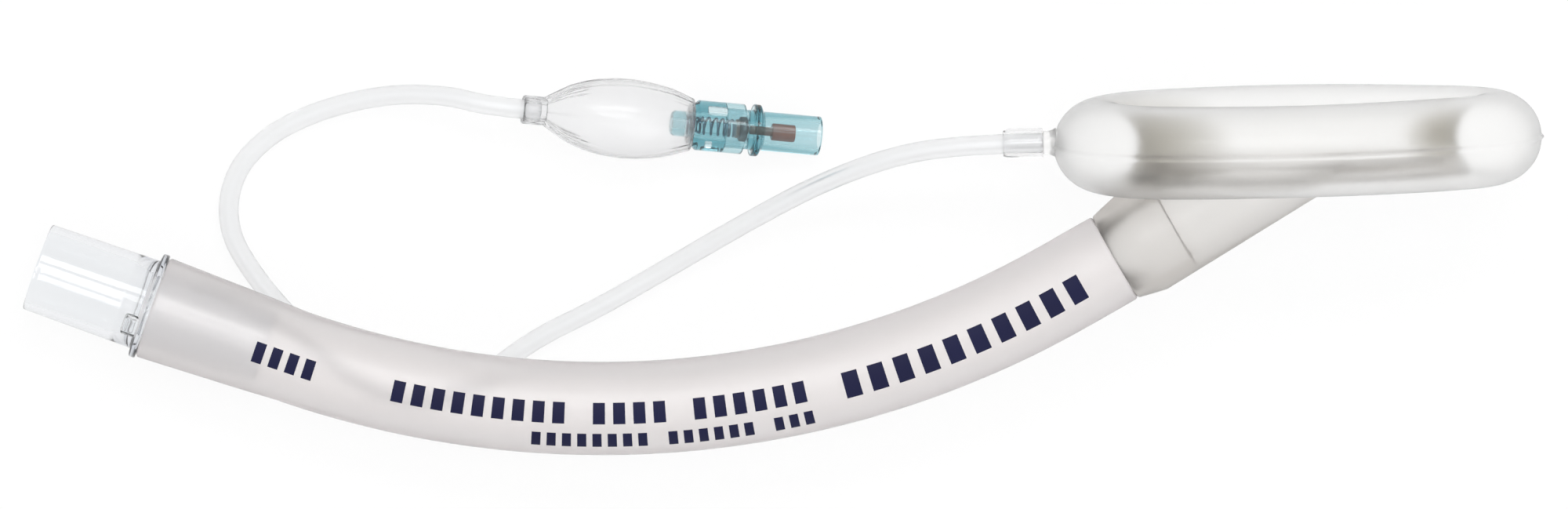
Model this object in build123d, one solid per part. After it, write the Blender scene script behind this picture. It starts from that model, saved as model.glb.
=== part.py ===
"""Laryngeal mask airway with its pilot balloon, lying on its side as it comes to rest.

All sizes are in millimetres.  The stiff pieces are drawn in a side-view frame: X runs from
the connector towards the mask's tip, Y towards the side that the mask opens to, and Z out of
the mirror plane.  Its origin is the middle of the connector's flange.  The finished pieces are
then laid on the table, where +Z is up and the bottom of the airway's own box is the origin.
"""
from build123d import *
from math import atan2, cos, degrees, pi, radians, sin, sqrt, tan
import os

# Fits
fit_gap = 0.05              # bonded joints and joints pushed together by hand
run_gap = 0.2               # round the pieces that slide in the valve
rest_gap = 0.2              # over the inflation line where the airway tube lies on it

# Connector
cone_length = 19.2
cone_tip_od = 15.0
cone_taper = 1 / 40         # growth of the diameter for each millimetre of length
cone_bore = 12.6
cone_bore_depth = 15.5
flange_od = 18.2
flange_thickness = 1.2
lug_width = 3.4
lug_length = 2.4
lug_turn = -22.0            # degrees from the side that faces up, towards the outer bend
spigot_length = 20.0
spigot_root_od = 12.9
spigot_tip_od = 11.4
spigot_root_bore = 10.2
spigot_tip_bore = 9.0
moulded_edge = 0.4          # bevel of the cone's tip and setback of the lug

# Airway tube
tube_od = 15.7
tube_bore = 10.8
flare_od = 17.5             # where it is stretched over the connector
flare_length = 25.0
flare_heading = -19.6       # degrees from X at the connector
bend_radius = 155.9
mask_heading = 30.0         # degrees from X at the mask
tail_length = 9.5           # straight part between the bend and the mask's socket
tube_end_od = 13.6          # stepped down inside the socket
tube_end_length = 11.0

# Mask backplate
socket_rim_od = 15.6
socket_ring_od = 17.9
socket_ring_at = 4.9        # from the rim
funnel_closing = 2.0        # degrees that the funnel's wall leans in towards the dish
funnel_bore = 12.6
dish_thickness = 1.6
dish_depth = 5.0            # from the cuff's mid plane to the middle of the dish
lip_thickness = 0.9
lip_low = 6.6               # the lip's lower edge, from the cuff's mid plane
lip_high = 2.6              # the lip's upper edge, from the cuff's mid plane

# Inflatable cuff
cuff_length = 81.7          # over the ring, without its seam
cuff_width = 46.0
cuff_section = 15.4
cuff_wall = 0.8
heel_radius = 13.5          # middle line's end arc at the tube's side
tip_radius = 9.5            # middle line's end arc at the mask's tip
cuff_heading = 1.3          # degrees from X
heel_from_ring = (-7.0, 16.5)   # heel section's middle, from the socket's widest ring, along X and Y
seam_proud = 0.4
seam_thickness = 0.5
stub_od = 4.0
stub_length = 1.7
stub_rise = 0.6             # above the seam
port_bore = 1.6

# Inflation line and its sleeve
line_od = 3.3
line_bore = 1.4
sleeve_od = 5.0
sleeve_length = 6.7
line_exit_run = 10.5        # straight out of the cuff's stub, through the sleeve
line_neck_run = 6.0         # straight up to the balloon's neck
under_tube_at = 33.0        # along the airway tube's middle line from the flange

# The line's points between its two straight ends, on a table that the flange stands on
line_points = [
    (126.5, 25.7, 16.6),
    (113.5, 20.3, 10.6),
    (101.0, 12.9, 5.0),
    (88.0, 4.9, 1.9),
    (76.0, -2.0, 1.65),
    (64.5, -7.4, 1.65),
    (54.0, -15.6, 1.65),
    (43.2, -20.0, 1.65),
    (33.0, -13.6, 1.65),
    (24.8, -4.6, 1.65),
    (17.8, 3.6, 1.65),
    (13.0, 12.0, 1.65),
    (14.0, 21.2, 1.65),
    (20.2, 28.0, 1.65),
    (29.4, 32.3, 1.8),
    (40.5, 34.9, 3.6),
    (50.5, 34.9, 7.0),
]

# Pilot balloon
neck_od = 4.8
neck_length = 3.6
neck_step = 0.6             # thickness of the stop that the line's end meets
balloon_length = 25.2       # without the neck
balloon_od = 13.4
balloon_crown_at = 13.2     # from the neck's inner end
balloon_mouth_od = 8.9
balloon_film = 0.4
balloon_front = (0.45, 0.84)    # fraction of the way to the crown, and of the crown's radius
balloon_back = (0.55, 0.89)     # the same between the crown and the mouth

# Check valve, along its axis from the tip of the nose
nose_od = 4.3
nose_length = 3.6
nose_floor = 2.2            # thickness of the nose's end, which carries the spring
housing_od = 8.5
housing_length = 8.7
housing_bevel = 0.8
spring_bore = 3.7
joint_depth = 3.2           # how far the luer body's neck enters the housing
neck_of_valve_od = 6.7
neck_of_valve_shows = 1.6
valve_flange_od = 8.8
valve_flange_thickness = 1.1
barrel_length = 10.5
barrel_od = 6.6
luer_mouth = 4.3
luer_taper = 0.06
luer_depth = 10.0
seat_bore = 2.2
seat_thickness = 2.4
chamber_bore = 5.0
stem_od = 1.5
collar_od = 3.2
collar_thickness = 0.6
seal_od = 4.2
seal_thickness = 1.3
head_od = 2.9
head_length = 4.0
valve_travel = 1.5
spring_wire = 0.35
spring_od = 3.2
spring_turns = 10

# Where the balloon lies on the table, from the flange's middle
neck_at = (62.8, 32.6)
balloon_heading = -6.2      # degrees from X
table_gap = 0.1             # under the balloon and the valve's flange


def turned(outline):
    """Turn an outline of (radius, height) points about Z."""
    return revolve(Plane.XZ * make_face(Polyline(*outline, close=True)), Axis.Z)


def heading_vector(heading):
    """Unit vector in the mirror plane."""
    return Vector(cos(radians(heading)), sin(radians(heading)), 0)


def facing(point, heading):
    """Frame in the mirror plane whose Z axis points along the heading."""
    return Plane(origin=point, x_dir=(0, 0, 1), z_dir=heading_vector(heading))


# Middle line of the airway tube
flange_middle = Vector(0, 0, 0)
bend_start = flange_middle + heading_vector(flare_heading) * flare_length
bend_centre = bend_start + heading_vector(flare_heading + 90) * bend_radius
bend_end = bend_centre - heading_vector(mask_heading + 90) * bend_radius
socket_rim = bend_end + heading_vector(mask_heading) * tail_length
socket_ring = socket_rim + heading_vector(mask_heading) * socket_ring_at

tube_mouth = flange_thickness / 2 + fit_gap
spigot_end = flange_thickness / 2 + spigot_length


def connector():
    """Cone, flange, lug and spigot in one clear moulding."""
    cone_start = -flange_thickness / 2 - cone_length
    cone_root_r = (cone_tip_od + cone_length * cone_taper) / 2
    body = turned([
        (cone_bore / 2, cone_start),
        (cone_tip_od / 2 - moulded_edge, cone_start),
        (cone_tip_od / 2, cone_start + moulded_edge),
        (cone_root_r, -flange_thickness / 2),
        (flange_od / 2, -flange_thickness / 2),
        (flange_od / 2, flange_thickness / 2),
        (spigot_root_od / 2, flange_thickness / 2),
        (spigot_tip_od / 2, spigot_end),
        (spigot_tip_bore / 2, spigot_end),
        (spigot_root_bore / 2, flange_thickness / 2),
        (cone_bore / 2, cone_start + cone_bore_depth),
    ])
    lug_low = cone_bore / 2 + moulded_edge
    lug_high = flange_od / 2 - moulded_edge
    lug = Pos((lug_low + lug_high) / 2, 0, -flange_thickness / 2 - lug_length / 2) * Box(
        lug_high - lug_low, lug_width, lug_length)
    body += Rot(0, 0, -lug_turn) * lug
    return facing(flange_middle, flare_heading) * body


def airway_tube():
    """Flared end, bend and stepped end of the soft tube."""
    flare = turned([
        (spigot_root_od / 2 + fit_gap, tube_mouth),
        (flare_od / 2, tube_mouth),
        (tube_od / 2, flare_length),
        (tube_bore / 2, flare_length),
        (spigot_tip_od / 2 + fit_gap, spigot_end + fit_gap),
    ])
    section = Circle(tube_od / 2) - Circle(tube_bore / 2)
    bend = revolve(
        facing(bend_start, flare_heading) * section,
        Axis(bend_centre, (0, 0, 1)),
        mask_heading - flare_heading,
    )
    shoulder = tail_length - fit_gap
    tail = turned([
        (tube_bore / 2, 0),
        (tube_od / 2, 0),
        (tube_od / 2, shoulder),
        (tube_end_od / 2, shoulder),
        (tube_end_od / 2, tail_length + tube_end_length),
        (tube_bore / 2, tail_length + tube_end_length),
    ])
    return facing(flange_middle, flare_heading) * flare + bend + facing(bend_end, mask_heading) * tail


# The cuff's frame: X along the ring, Z towards the side that the mask opens to
cuff_heel = socket_ring + Vector(*heel_from_ring)
ring_frame = Plane(
    origin=cuff_heel, x_dir=heading_vector(cuff_heading), z_dir=heading_vector(cuff_heading + 90))


def side_radius():
    """Radius of the ring's long arcs, which touch both end arcs inside at the right width.

    The two arcs meet on the line through their centres, which gives the distance along the
    ring from the side arc's centre to each end arc's centre.  The radius is halved in on until
    those two distances add up to the distance between the end arcs' centres.
    """
    half = (cuff_width - cuff_section) / 2
    between = cuff_length - cuff_section - heel_radius - tip_radius
    low, high = half + 1, 50 * half
    for _ in range(60):
        radius = (low + high) / 2
        reach = sum(
            sqrt((half - end) * (2 * radius - end - half)) for end in (heel_radius, tip_radius))
        if reach < between:
            low = radius
        else:
            high = radius
    return radius


side_r = side_radius()
side_centre_y = side_r - (cuff_width - cuff_section) / 2
side_centre_x = heel_radius + sqrt((side_r - heel_radius) ** 2 - side_centre_y ** 2)
tip_centre_x = cuff_length - cuff_section - tip_radius
heel_turn = degrees(atan2(side_centre_y, heel_radius - side_centre_x))
tip_turn = degrees(atan2(side_centre_y, tip_centre_x - side_centre_x))

# The ring's middle line as arcs: centre, radius, first angle and angle turned
ring_arcs = [
    ((heel_radius, 0), heel_radius, heel_turn, 2 * (180 - heel_turn)),
    ((side_centre_x, side_centre_y), side_r, -heel_turn, heel_turn - tip_turn),
    ((tip_centre_x, 0), tip_radius, -tip_turn, 2 * tip_turn),
    ((side_centre_x, -side_centre_y), side_r, tip_turn, heel_turn - tip_turn),
]


def ring_tube(section_r):
    """Closed tube of round section along the ring's middle line."""
    pieces = []
    for (x, y), radius, first, turn in ring_arcs:
        start = Plane(
            origin=(x + radius * cos(radians(first)), y + radius * sin(radians(first)), 0),
            z_dir=(-sin(radians(first)), cos(radians(first)), 0))
        pieces.append(revolve(start * Circle(section_r), Axis((x, y, 0), (0, 0, 1)), turn))
    return pieces[0] + pieces[1:]


def ring_plate(grow, low, high):
    """Flat plate between two heights, its edge off the ring's middle line by grow."""
    edges = [CenterArc(centre, radius + grow, first, turn) for centre, radius, first, turn in ring_arcs]
    return Pos(0, 0, low) * extrude(make_face(edges), high - low)


def inflatable_cuff():
    """Hollow blown ring with its weld seam, and the stub that takes the inflation line."""
    section_r = cuff_section / 2
    seam = ring_plate(section_r + seam_proud, -seam_thickness / 2, seam_thickness / 2)
    seam -= ring_plate(section_r - cuff_wall / 2, -seam_thickness, seam_thickness)
    outwards = Pos(-section_r - stub_length, 0, stub_rise) * Rot(0, 90, 0)
    from_end = (Align.CENTER, Align.CENTER, Align.MIN)
    stub = outwards * Cylinder(stub_od / 2, stub_length + cuff_wall / 2, align=from_end)
    drill = outwards * Pos(0, 0, -stub_length) * Cylinder(
        port_bore / 2, 2 * stub_length + 2 * cuff_wall, align=from_end)
    outside = ring_tube(section_r) + seam + stub
    return ring_frame * (outside - drill - ring_tube(section_r - cuff_wall))


stub_face = ring_frame.from_local_coords(Vector(-cuff_section / 2 - stub_length, 0, stub_rise))


def cuff_port_sleeve():
    """Sleeve that joins the inflation line to the cuff's stub, face to face."""
    sleeve = turned([
        (line_od / 2 + fit_gap, 0),
        (sleeve_od / 2, 0),
        (sleeve_od / 2, sleeve_length),
        (line_od / 2 + fit_gap, sleeve_length),
    ])
    return facing(stub_face, cuff_heading + 180) * sleeve


def mask_backplate():
    """Socket, slanting funnel and dish, bonded under the cuff's inner side."""
    funnel_length = (dish_depth + cuff_section) / sin(radians(mask_heading))
    far_r = socket_ring_od / 2 - (funnel_length - socket_ring_at) * tan(radians(funnel_closing))
    funnel = turned([
        (0, 0),
        (socket_rim_od / 2, 0),
        (socket_ring_od / 2, socket_ring_at),
        (far_r, funnel_length),
        (0, funnel_length),
    ])
    bore = turned([
        (0, -fit_gap),
        (tube_end_od / 2 + fit_gap, -fit_gap),
        (tube_end_od / 2 + fit_gap, tube_end_length + fit_gap),
        (funnel_bore / 2, tube_end_length + fit_gap),
        (funnel_bore / 2, funnel_length),
        (0, funnel_length),
    ])
    socket = facing(socket_rim, mask_heading)
    section_r = cuff_section / 2
    beyond = 3 * cuff_length
    above_dish = ring_frame * Pos(0, 0, -dish_depth) * Box(
        beyond, beyond, beyond, align=(Align.CENTER, Align.CENTER, Align.MIN))
    dish = ring_plate(-section_r / 2, -dish_depth - dish_thickness / 2, -dish_depth + dish_thickness / 2)
    lip = ring_plate(-section_r / 2, -lip_low, -lip_high)
    lip -= ring_plate(-section_r - lip_thickness, -cuff_section, 0)
    body = (socket * funnel - above_dish) + ring_frame * (dish + lip)
    return body - socket * bore - ring_frame * ring_tube(section_r + fit_gap)


def lying_frame():
    """Frame that the side view takes on the table, its origin over the flange's middle.

    Three places carry the airway: the flange's rim, the inflation line under the airway tube
    and the cuff's long side.  Each stands a known height over the table, so the table's
    upward direction follows from two linear equations.  Those heights turn a little with the
    direction, so the equations are solved again until it settles.
    """
    flange_axis = heading_vector(flare_heading)
    turn = flare_heading + degrees((under_tube_at - flare_length) / bend_radius)
    over_line = bend_centre - heading_vector(turn + 90) * bend_radius
    over_line_height = tube_od / 2 + line_od + rest_gap
    ring_axis = ring_frame.z_dir
    side_centre = ring_frame.from_local_coords(Vector(side_centre_x, -side_centre_y, 0))
    section_r = cuff_section / 2
    up = Vector(0, 0, 1)
    for _ in range(40):
        down_ring = (ring_axis * up.dot(ring_axis) - up).normalized()
        lowest_side = side_centre + down_ring * side_r
        lean = abs(up.dot(flange_axis))
        flange_height = flange_od / 2 * sqrt(1 - lean ** 2) + flange_thickness / 2 * lean
        lean = abs(up.dot(ring_axis))
        seam_reach = (section_r + seam_proud) * sqrt(1 - lean ** 2) + seam_thickness / 2 * lean
        line_rise = over_line_height - flange_height
        side_rise = max(section_r, seam_reach) - flange_height - up.Z * lowest_side.Z
        cross = over_line.X * lowest_side.Y - over_line.Y * lowest_side.X
        up_x = (line_rise * lowest_side.Y - over_line.Y * side_rise) / cross
        up_y = (over_line.X * side_rise - lowest_side.X * line_rise) / cross
        up = Vector(up_x, up_y, sqrt(1 - up_x ** 2 - up_y ** 2))
    level = sqrt(1 - up.X ** 2)
    return Plane(
        origin=(0, 0, flange_height),
        x_dir=(level, 0, up.X),
        z_dir=(-up.X * up.Z / level, -up.Y / level, up.Z))


# The balloon's frame: Z along its axis from the neck's open end to the luer socket
crown_at = neck_length + balloon_crown_at
mouth_at = neck_length + balloon_length
nose_at = mouth_at - nose_length + balloon_film / 2
housing_at = nose_at + nose_length
housing_end = housing_at + housing_length
flange_at = housing_end + neck_of_valve_shows
barrel_at = flange_at + valve_flange_thickness
barrel_end = barrel_at + barrel_length


def balloon_frame():
    """Frame of the balloon's axis, which dips until crown and valve flange are both down."""
    drop = (balloon_od - valve_flange_od) / 2
    dip = atan2(drop, barrel_at - crown_at)
    crown_height = balloon_od / 2 * cos(dip) + table_gap + balloon_length * (1 - cos(dip))
    turn = radians(balloon_heading)
    axis = Vector(cos(turn) * cos(dip), sin(turn) * cos(dip), -sin(dip))
    return Plane(origin=(*neck_at, crown_height + crown_at * sin(dip)), z_dir=axis)


def balloon_outline(inset):
    """Side of the balloon from neck to mouth, moved inwards by inset."""
    front_way, front_width = balloon_front
    back_way, back_width = balloon_back
    return Spline(
        (neck_od / 2 - inset, neck_length + inset),
        (front_width * balloon_od / 2 - inset, neck_length + front_way * balloon_crown_at),
        (balloon_od / 2 - inset, crown_at),
        (back_width * balloon_od / 2 - inset, crown_at + back_way * (mouth_at - crown_at)),
        (balloon_mouth_od / 2 - inset, mouth_at - inset),
    )


def pilot_balloon():
    """Thin bag with a neck for the line and a mouth round the valve's nose."""
    side = balloon_outline(0)
    outside = [
        Line((0, 0), (neck_od / 2, 0)),
        Line((neck_od / 2, 0), (neck_od / 2, neck_length)),
        side,
        Line(side @ 1, (0, mouth_at)),
        Line((0, mouth_at), (0, 0)),
    ]
    side = balloon_outline(balloon_film)
    inside = [
        Line((0, neck_length + balloon_film), side @ 0),
        side,
        Line(side @ 1, (0, mouth_at - balloon_film)),
        Line((0, mouth_at - balloon_film), (0, neck_length + balloon_film)),
    ]
    bag = revolve(Plane.XZ * make_face(outside), Axis.Z)
    room = revolve(Plane.XZ * make_face(inside), Axis.Z)
    line_seat = neck_length - neck_step
    line_hole = turned([
        (0, -fit_gap),
        (line_od / 2 + fit_gap, -fit_gap),
        (line_od / 2 + fit_gap, line_seat),
        (line_bore / 2, line_seat),
        (line_bore / 2, neck_length + 2 * balloon_film),
        (0, neck_length + 2 * balloon_film),
    ])
    nose_hole = Pos(0, 0, mouth_at) * Cylinder(nose_od / 2 + fit_gap, nose_length)
    return bag - room - line_hole - nose_hole


# Inside the valve, on the balloon's axis
spring_start = nose_at + nose_floor
neck_start = housing_end - joint_depth
luer_floor = barrel_end - luer_depth
chamber_end = luer_floor - seat_thickness
luer_floor_d = luer_mouth - luer_taper * luer_depth
seal_at = chamber_end - run_gap - seal_thickness
collar_at = seal_at - fit_gap - collar_thickness
spring_end = collar_at - fit_gap
head_start = luer_floor + valve_travel + run_gap
stem_end = head_start + head_length / 2


def valve_tail_housing():
    """Housing with the nose in the balloon's mouth, the spring's bore and the joint."""
    return turned([
        (line_bore / 2, nose_at),
        (nose_od / 2, nose_at),
        (nose_od / 2, housing_at),
        (housing_od / 2 - housing_bevel, housing_at),
        (housing_od / 2, housing_at + housing_bevel),
        (housing_od / 2, housing_end),
        (neck_of_valve_od / 2 + fit_gap, housing_end),
        (neck_of_valve_od / 2 + fit_gap, neck_start - fit_gap),
        (spring_bore / 2, neck_start - fit_gap),
        (spring_bore / 2, spring_start),
        (line_bore / 2, spring_start),
    ])


def valve_luer_body():
    """Neck, flange and barrel with the seal's chamber, the seat and the luer socket."""
    return turned([
        (chamber_bore / 2, neck_start),
        (neck_of_valve_od / 2, neck_start),
        (neck_of_valve_od / 2, flange_at),
        (valve_flange_od / 2, flange_at),
        (valve_flange_od / 2, barrel_at),
        (barrel_od / 2, barrel_at),
        (barrel_od / 2, barrel_end),
        (luer_mouth / 2, barrel_end),
        (luer_floor_d / 2, luer_floor),
        (seat_bore / 2, luer_floor),
        (seat_bore / 2, chamber_end),
        (chamber_bore / 2, chamber_end),
    ])


def valve_stem():
    """Stem with the collar that the spring pushes."""
    return turned([
        (0, collar_at),
        (collar_od / 2, collar_at),
        (collar_od / 2, collar_at + collar_thickness),
        (stem_od / 2, collar_at + collar_thickness),
        (stem_od / 2, stem_end),
        (0, stem_end),
    ])


def valve_stem_head():
    """Head pressed over the stem's end, inside the luer socket."""
    return turned([
        (stem_od / 2 + fit_gap, head_start),
        (head_od / 2, head_start),
        (head_od / 2, head_start + head_length),
        (0, head_start + head_length),
        (0, stem_end + fit_gap),
        (stem_od / 2 + fit_gap, stem_end + fit_gap),
    ])


def valve_seal():
    """Soft ring on the stem, between the collar and the seat."""
    return turned([
        (stem_od / 2 + fit_gap, seal_at),
        (seal_od / 2, seal_at),
        (seal_od / 2, seal_at + seal_thickness),
        (stem_od / 2 + fit_gap, seal_at + seal_thickness),
    ])


def valve_spring():
    """Coil spring from the nose's floor to the collar."""
    coil_r = (spring_od - spring_wire) / 2
    height = spring_end - spring_start - spring_wire - fit_gap
    coil = Helix(height / spring_turns, height, coil_r)
    wire = sweep(Plane(origin=coil @ 0, z_dir=coil % 0) * Circle(spring_wire / 2), path=coil, is_frenet=True)
    return Pos(0, 0, spring_start + spring_wire / 2 + fit_gap) * wire


def line_route(port, port_direction, balloon):
    """Points of the inflation line from the cuff's stub to the stop in the balloon's neck."""
    neck = balloon.origin
    return [
        port,
        port + port_direction * line_exit_run,
        *[Vector(*point) for point in line_points],
        neck - balloon.z_dir * line_neck_run,
        neck + balloon.z_dir * (neck_length - neck_step),
    ]


def bend_radii(route):
    """Radius of each corner: 0.45 of the shorter run, over the tangent of half the turn."""
    radii = []
    for before, corner, after in zip(route, route[1:], route[2:]):
        half_turn = radians((corner - before).get_angle(after - corner)) / 2
        run = min((corner - before).length, (after - corner).length)
        radii.append(0.45 * run / tan(half_turn))
    return radii


def inflation_line(route):
    """Clear tube along the route's straight runs and tangent arcs."""
    radii = bend_radii(route)
    path = FilletPolyline(*route, radius=radii)
    section = Plane(origin=path @ 0, z_dir=path % 0) * (Circle(line_od / 2) - Circle(line_bore / 2))
    tube = sweep(section, path=path)
    expected = (line_od ** 2 - line_bore ** 2) * pi / 4 * path.length
    print("line radii", [round(radius, 1) for radius in radii])
    print("line length", round(path.length, 1), "volume over section x length", tube.volume / expected)
    return tube


table = lying_frame()
balloon = balloon_frame()
stub_on_table = table.from_local_coords(stub_face)
exit_direction = table.from_local_coords(stub_face - heading_vector(cuff_heading)) - stub_on_table

stiff = {
    "connector_15mm": connector(),
    "airway_tube": airway_tube(),
    "mask_backplate": mask_backplate(),
    "inflatable_cuff": inflatable_cuff(),
    "cuff_port_sleeve": cuff_port_sleeve(),
}
on_balloon_axis = {
    "pilot_balloon": pilot_balloon(),
    "valve_tail_housing": valve_tail_housing(),
    "valve_luer_body": valve_luer_body(),
    "valve_stem": valve_stem(),
    "valve_stem_head": valve_stem_head(),
    "valve_seal": valve_seal(),
    "valve_spring": valve_spring(),
}
pieces = {node: table * shape for node, shape in stiff.items()}
airway_box = Compound(list(pieces.values())).bounding_box()
pieces["inflation_line"] = inflation_line(line_route(stub_on_table, exit_direction, balloon))
pieces.update({node: balloon * shape for node, shape in on_balloon_axis.items()})

to_origin = Pos(-airway_box.center().X, -airway_box.center().Y, -airway_box.min.Z)
os.makedirs("parts", exist_ok=True)
for node, shape in pieces.items():
    export_step(to_origin * shape, f"parts/{node}.step")
print("airway's lowest point before it is set down", round(airway_box.min.Z, 4))
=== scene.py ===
"""Looks of a laryngeal mask airway that lies on its side, with its inflation line and balloon.

Sizes are in millimetres, and each shape is a surface worked out with numpy: rings of points
carried along a path.  The side view's frame has X from the connector towards the mask, Y
towards the side that the mask opens to, and the middle of the connector's flange at its origin.
"""

import logging
from dataclasses import dataclass, field
from enum import Enum
from typing import Callable, Protocol

import bmesh
import bpy
import numpy as np
from mathutils import Matrix

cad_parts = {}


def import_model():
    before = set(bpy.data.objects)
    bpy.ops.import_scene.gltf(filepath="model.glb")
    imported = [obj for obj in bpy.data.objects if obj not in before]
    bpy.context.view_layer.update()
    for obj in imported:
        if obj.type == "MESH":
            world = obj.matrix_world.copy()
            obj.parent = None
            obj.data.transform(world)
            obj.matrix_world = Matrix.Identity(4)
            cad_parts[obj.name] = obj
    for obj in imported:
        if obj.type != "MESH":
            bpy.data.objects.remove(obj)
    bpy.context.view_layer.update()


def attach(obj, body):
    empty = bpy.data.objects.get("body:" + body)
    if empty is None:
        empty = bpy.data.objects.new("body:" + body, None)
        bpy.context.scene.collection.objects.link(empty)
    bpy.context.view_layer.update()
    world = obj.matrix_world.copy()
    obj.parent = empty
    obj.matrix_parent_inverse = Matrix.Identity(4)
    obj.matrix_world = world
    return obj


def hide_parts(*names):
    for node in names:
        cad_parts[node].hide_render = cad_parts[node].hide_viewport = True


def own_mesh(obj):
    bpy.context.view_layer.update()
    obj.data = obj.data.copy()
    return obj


MM = 0.001
MERGE_DISTANCE = 1e-6       # metres; closer points are one
SLIVER_LENGTH = 1e-7        # metres; shorter edges are taken away
ON_AXIS = 1e-9              # millimetres; a smaller radius lies on the axis
ROUNDING_SHARE = 0.32       # most of a side that one rounded corner takes
FLAT_GUARD = 1.45           # place of a flat stretch's own point, in reaches of the corner
CORNER_STEPS = 4            # parts of a rounded corner
CORNER_POINTS = CORNER_STEPS + 3
FLARE_HEADING = -19.6       # degrees from X in the side view, at the connector
MASK_HEADING = 30.0         # the same at the mask's socket
CUFF_HEADING = 1.3          # the same along the cuff
VIEW_LEAN = 7.7             # degrees from the side view's normal to the camera
TUBE_R = 7.85               # millimetres, of the airway tube's plain part
log = logging.getLogger("airway")

Points = np.ndarray
Point = tuple[float, float, float]
Colour = tuple[float, float, float]
Profile = list[tuple[float, float]]
Z_AXIS: Point = (0.0, 0.0, 1.0)
TOWARDS_TUBE: Point = (-1.0, 0.0, 0.0)     # along the ring, from the mask's tip to its heel


class Body(Enum):
    """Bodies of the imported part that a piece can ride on."""

    AIRWAY = "airway"
    PLUNGER = "valve_plunger"


def unit(vectors: Points) -> Points:
    """Vectors of length one along the last axis."""
    return vectors / np.linalg.norm(vectors, axis=-1, keepdims=True)


def smoothstep(value: Points) -> Points:
    """Cubic ease from 0 to 1: three times the square less twice the cube."""
    value = np.clip(value, 0.0, 1.0)
    return value * value * (3.0 - 2.0 * value)


@dataclass(frozen=True)
class Frame:
    """Origin in metres and three unit axes, all in the row frame."""

    origin: Points
    x: Points
    y: Points
    z: Points

    def direction(self, vectors: Points) -> Points:
        """Directions of this frame turned into the row frame."""
        vectors = np.asarray(vectors, float)
        return vectors[..., :1] * self.x + vectors[..., 1:2] * self.y + vectors[..., 2:3] * self.z

    def place(self, points: Points) -> Points:
        """Points in millimetres of this frame as metres of the row frame."""
        return self.origin + MM * self.direction(points)

    def at(self, origin: Point, z: Point, x: Point) -> "Frame":
        """Frame given in this one's coordinates.

        Args:
            origin: its origin, in millimetres.
            z: its Z axis.
            x: its X axis, square to z.

        Returns:
            The frame, in the row frame.
        """
        z_axis, x_axis = self.direction(np.array(z)), self.direction(np.array(x))
        return Frame(self.place(np.array(origin)), x_axis, np.cross(z_axis, x_axis), z_axis)


SIDE = Frame(
    origin=np.array([-0.105992, -0.005532, 0.00912]),
    x=np.array([0.997159, 0.0, 0.075322]),
    y=np.array([-0.000808, 0.999943, 0.010693]),
    z=np.array([-0.075318, -0.010723, 0.997102]),
)
HEEL: Point = (159.269102, 27.167107, 0.0)
RING_X: Point = (0.999743, 0.022687, 0.0)
RING_Z: Point = (-0.022687, 0.999743, 0.0)
BALLOON = Frame(
    origin=np.array([-0.043192, 0.027068, 0.008517]),
    x=np.array([0.107999, 0.994151, 0.0]),
    y=np.array([0.096431, -0.010476, 0.995285]),
    z=np.array([0.989463, -0.10749, -0.096998]),
)

# The inflation line's route, in metres, from the cuff's stub to the stop in the balloon's neck
LINE_ROUTE = np.array([
    (0.04342, 0.02202, 0.02070),
    (0.03295, 0.02178, 0.01991),
    (0.02051, 0.02017, 0.01660),
    (0.00751, 0.01477, 0.01060),
    (-0.00499, 0.00737, 0.00500),
    (-0.01799, -0.00063, 0.00190),
    (-0.02999, -0.00753, 0.00165),
    (-0.04149, -0.01293, 0.00165),
    (-0.05199, -0.02113, 0.00165),
    (-0.06279, -0.02553, 0.00165),
    (-0.07299, -0.01913, 0.00165),
    (-0.08119, -0.01013, 0.00165),
    (-0.08819, -0.00193, 0.00165),
    (-0.09299, 0.00647, 0.00165),
    (-0.09199, 0.01567, 0.00165),
    (-0.08579, 0.02247, 0.00165),
    (-0.07659, 0.02677, 0.00180),
    (-0.06549, 0.02937, 0.00360),
    (-0.05549, 0.02937, 0.00700),
    (-0.04913, 0.02771, 0.00910),
    (-0.04022, 0.02675, 0.00823),
])


def heading_vector(degrees: float) -> Point:
    """Unit vector in the side view's plane, so many degrees from X."""
    return float(np.cos(np.radians(degrees))), float(np.sin(np.radians(degrees))), 0.0


def facing(point: Point, degrees: float) -> Frame:
    """Frame in the side view whose Z axis points along the heading."""
    return SIDE.at(point, heading_vector(degrees), Z_AXIS)


# Profiles


def softened(outline: Profile, radius: float) -> Points:
    """Round the corners of a closed outline.

    Each corner becomes a quadratic curve whose ends lie on its two sides, radius away from it
    or less on a short side.  A point on the axis stays sharp.  One more point on each side
    keeps the flat stretches flat under smooth shading.

    Args:
        outline: (radius, station) points in order.
        radius: reach of the rounding.

    Returns:
        Array of (radius, station) points, CORNER_POINTS of them for each corner.
    """
    corner = np.array(outline, float)
    back, ahead = np.roll(corner, 1, 0) - corner, np.roll(corner, -1, 0) - corner
    shorter = np.minimum(np.linalg.norm(back, axis=1), np.linalg.norm(ahead, axis=1))
    reach = np.minimum(radius, ROUNDING_SHARE * shorter)
    reach = np.where(corner[:, 0] < ON_AXIS, 0.0, reach)[:, None]
    back, ahead = unit(back), unit(ahead)
    first, last = (corner + back * reach)[:, None], (corner + ahead * reach)[:, None]
    t = np.linspace(0.0, 1.0, CORNER_STEPS + 1)[None, :, None]
    curve = (1 - t) ** 2 * first + 2 * t * (1 - t) * corner[:, None] + t ** 2 * last
    outer = (corner + back * reach * FLAT_GUARD)[:, None]
    beyond = (corner + ahead * reach * FLAT_GUARD)[:, None]
    return np.concatenate([outer, curve, beyond], axis=1).reshape(-1, 2)


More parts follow.
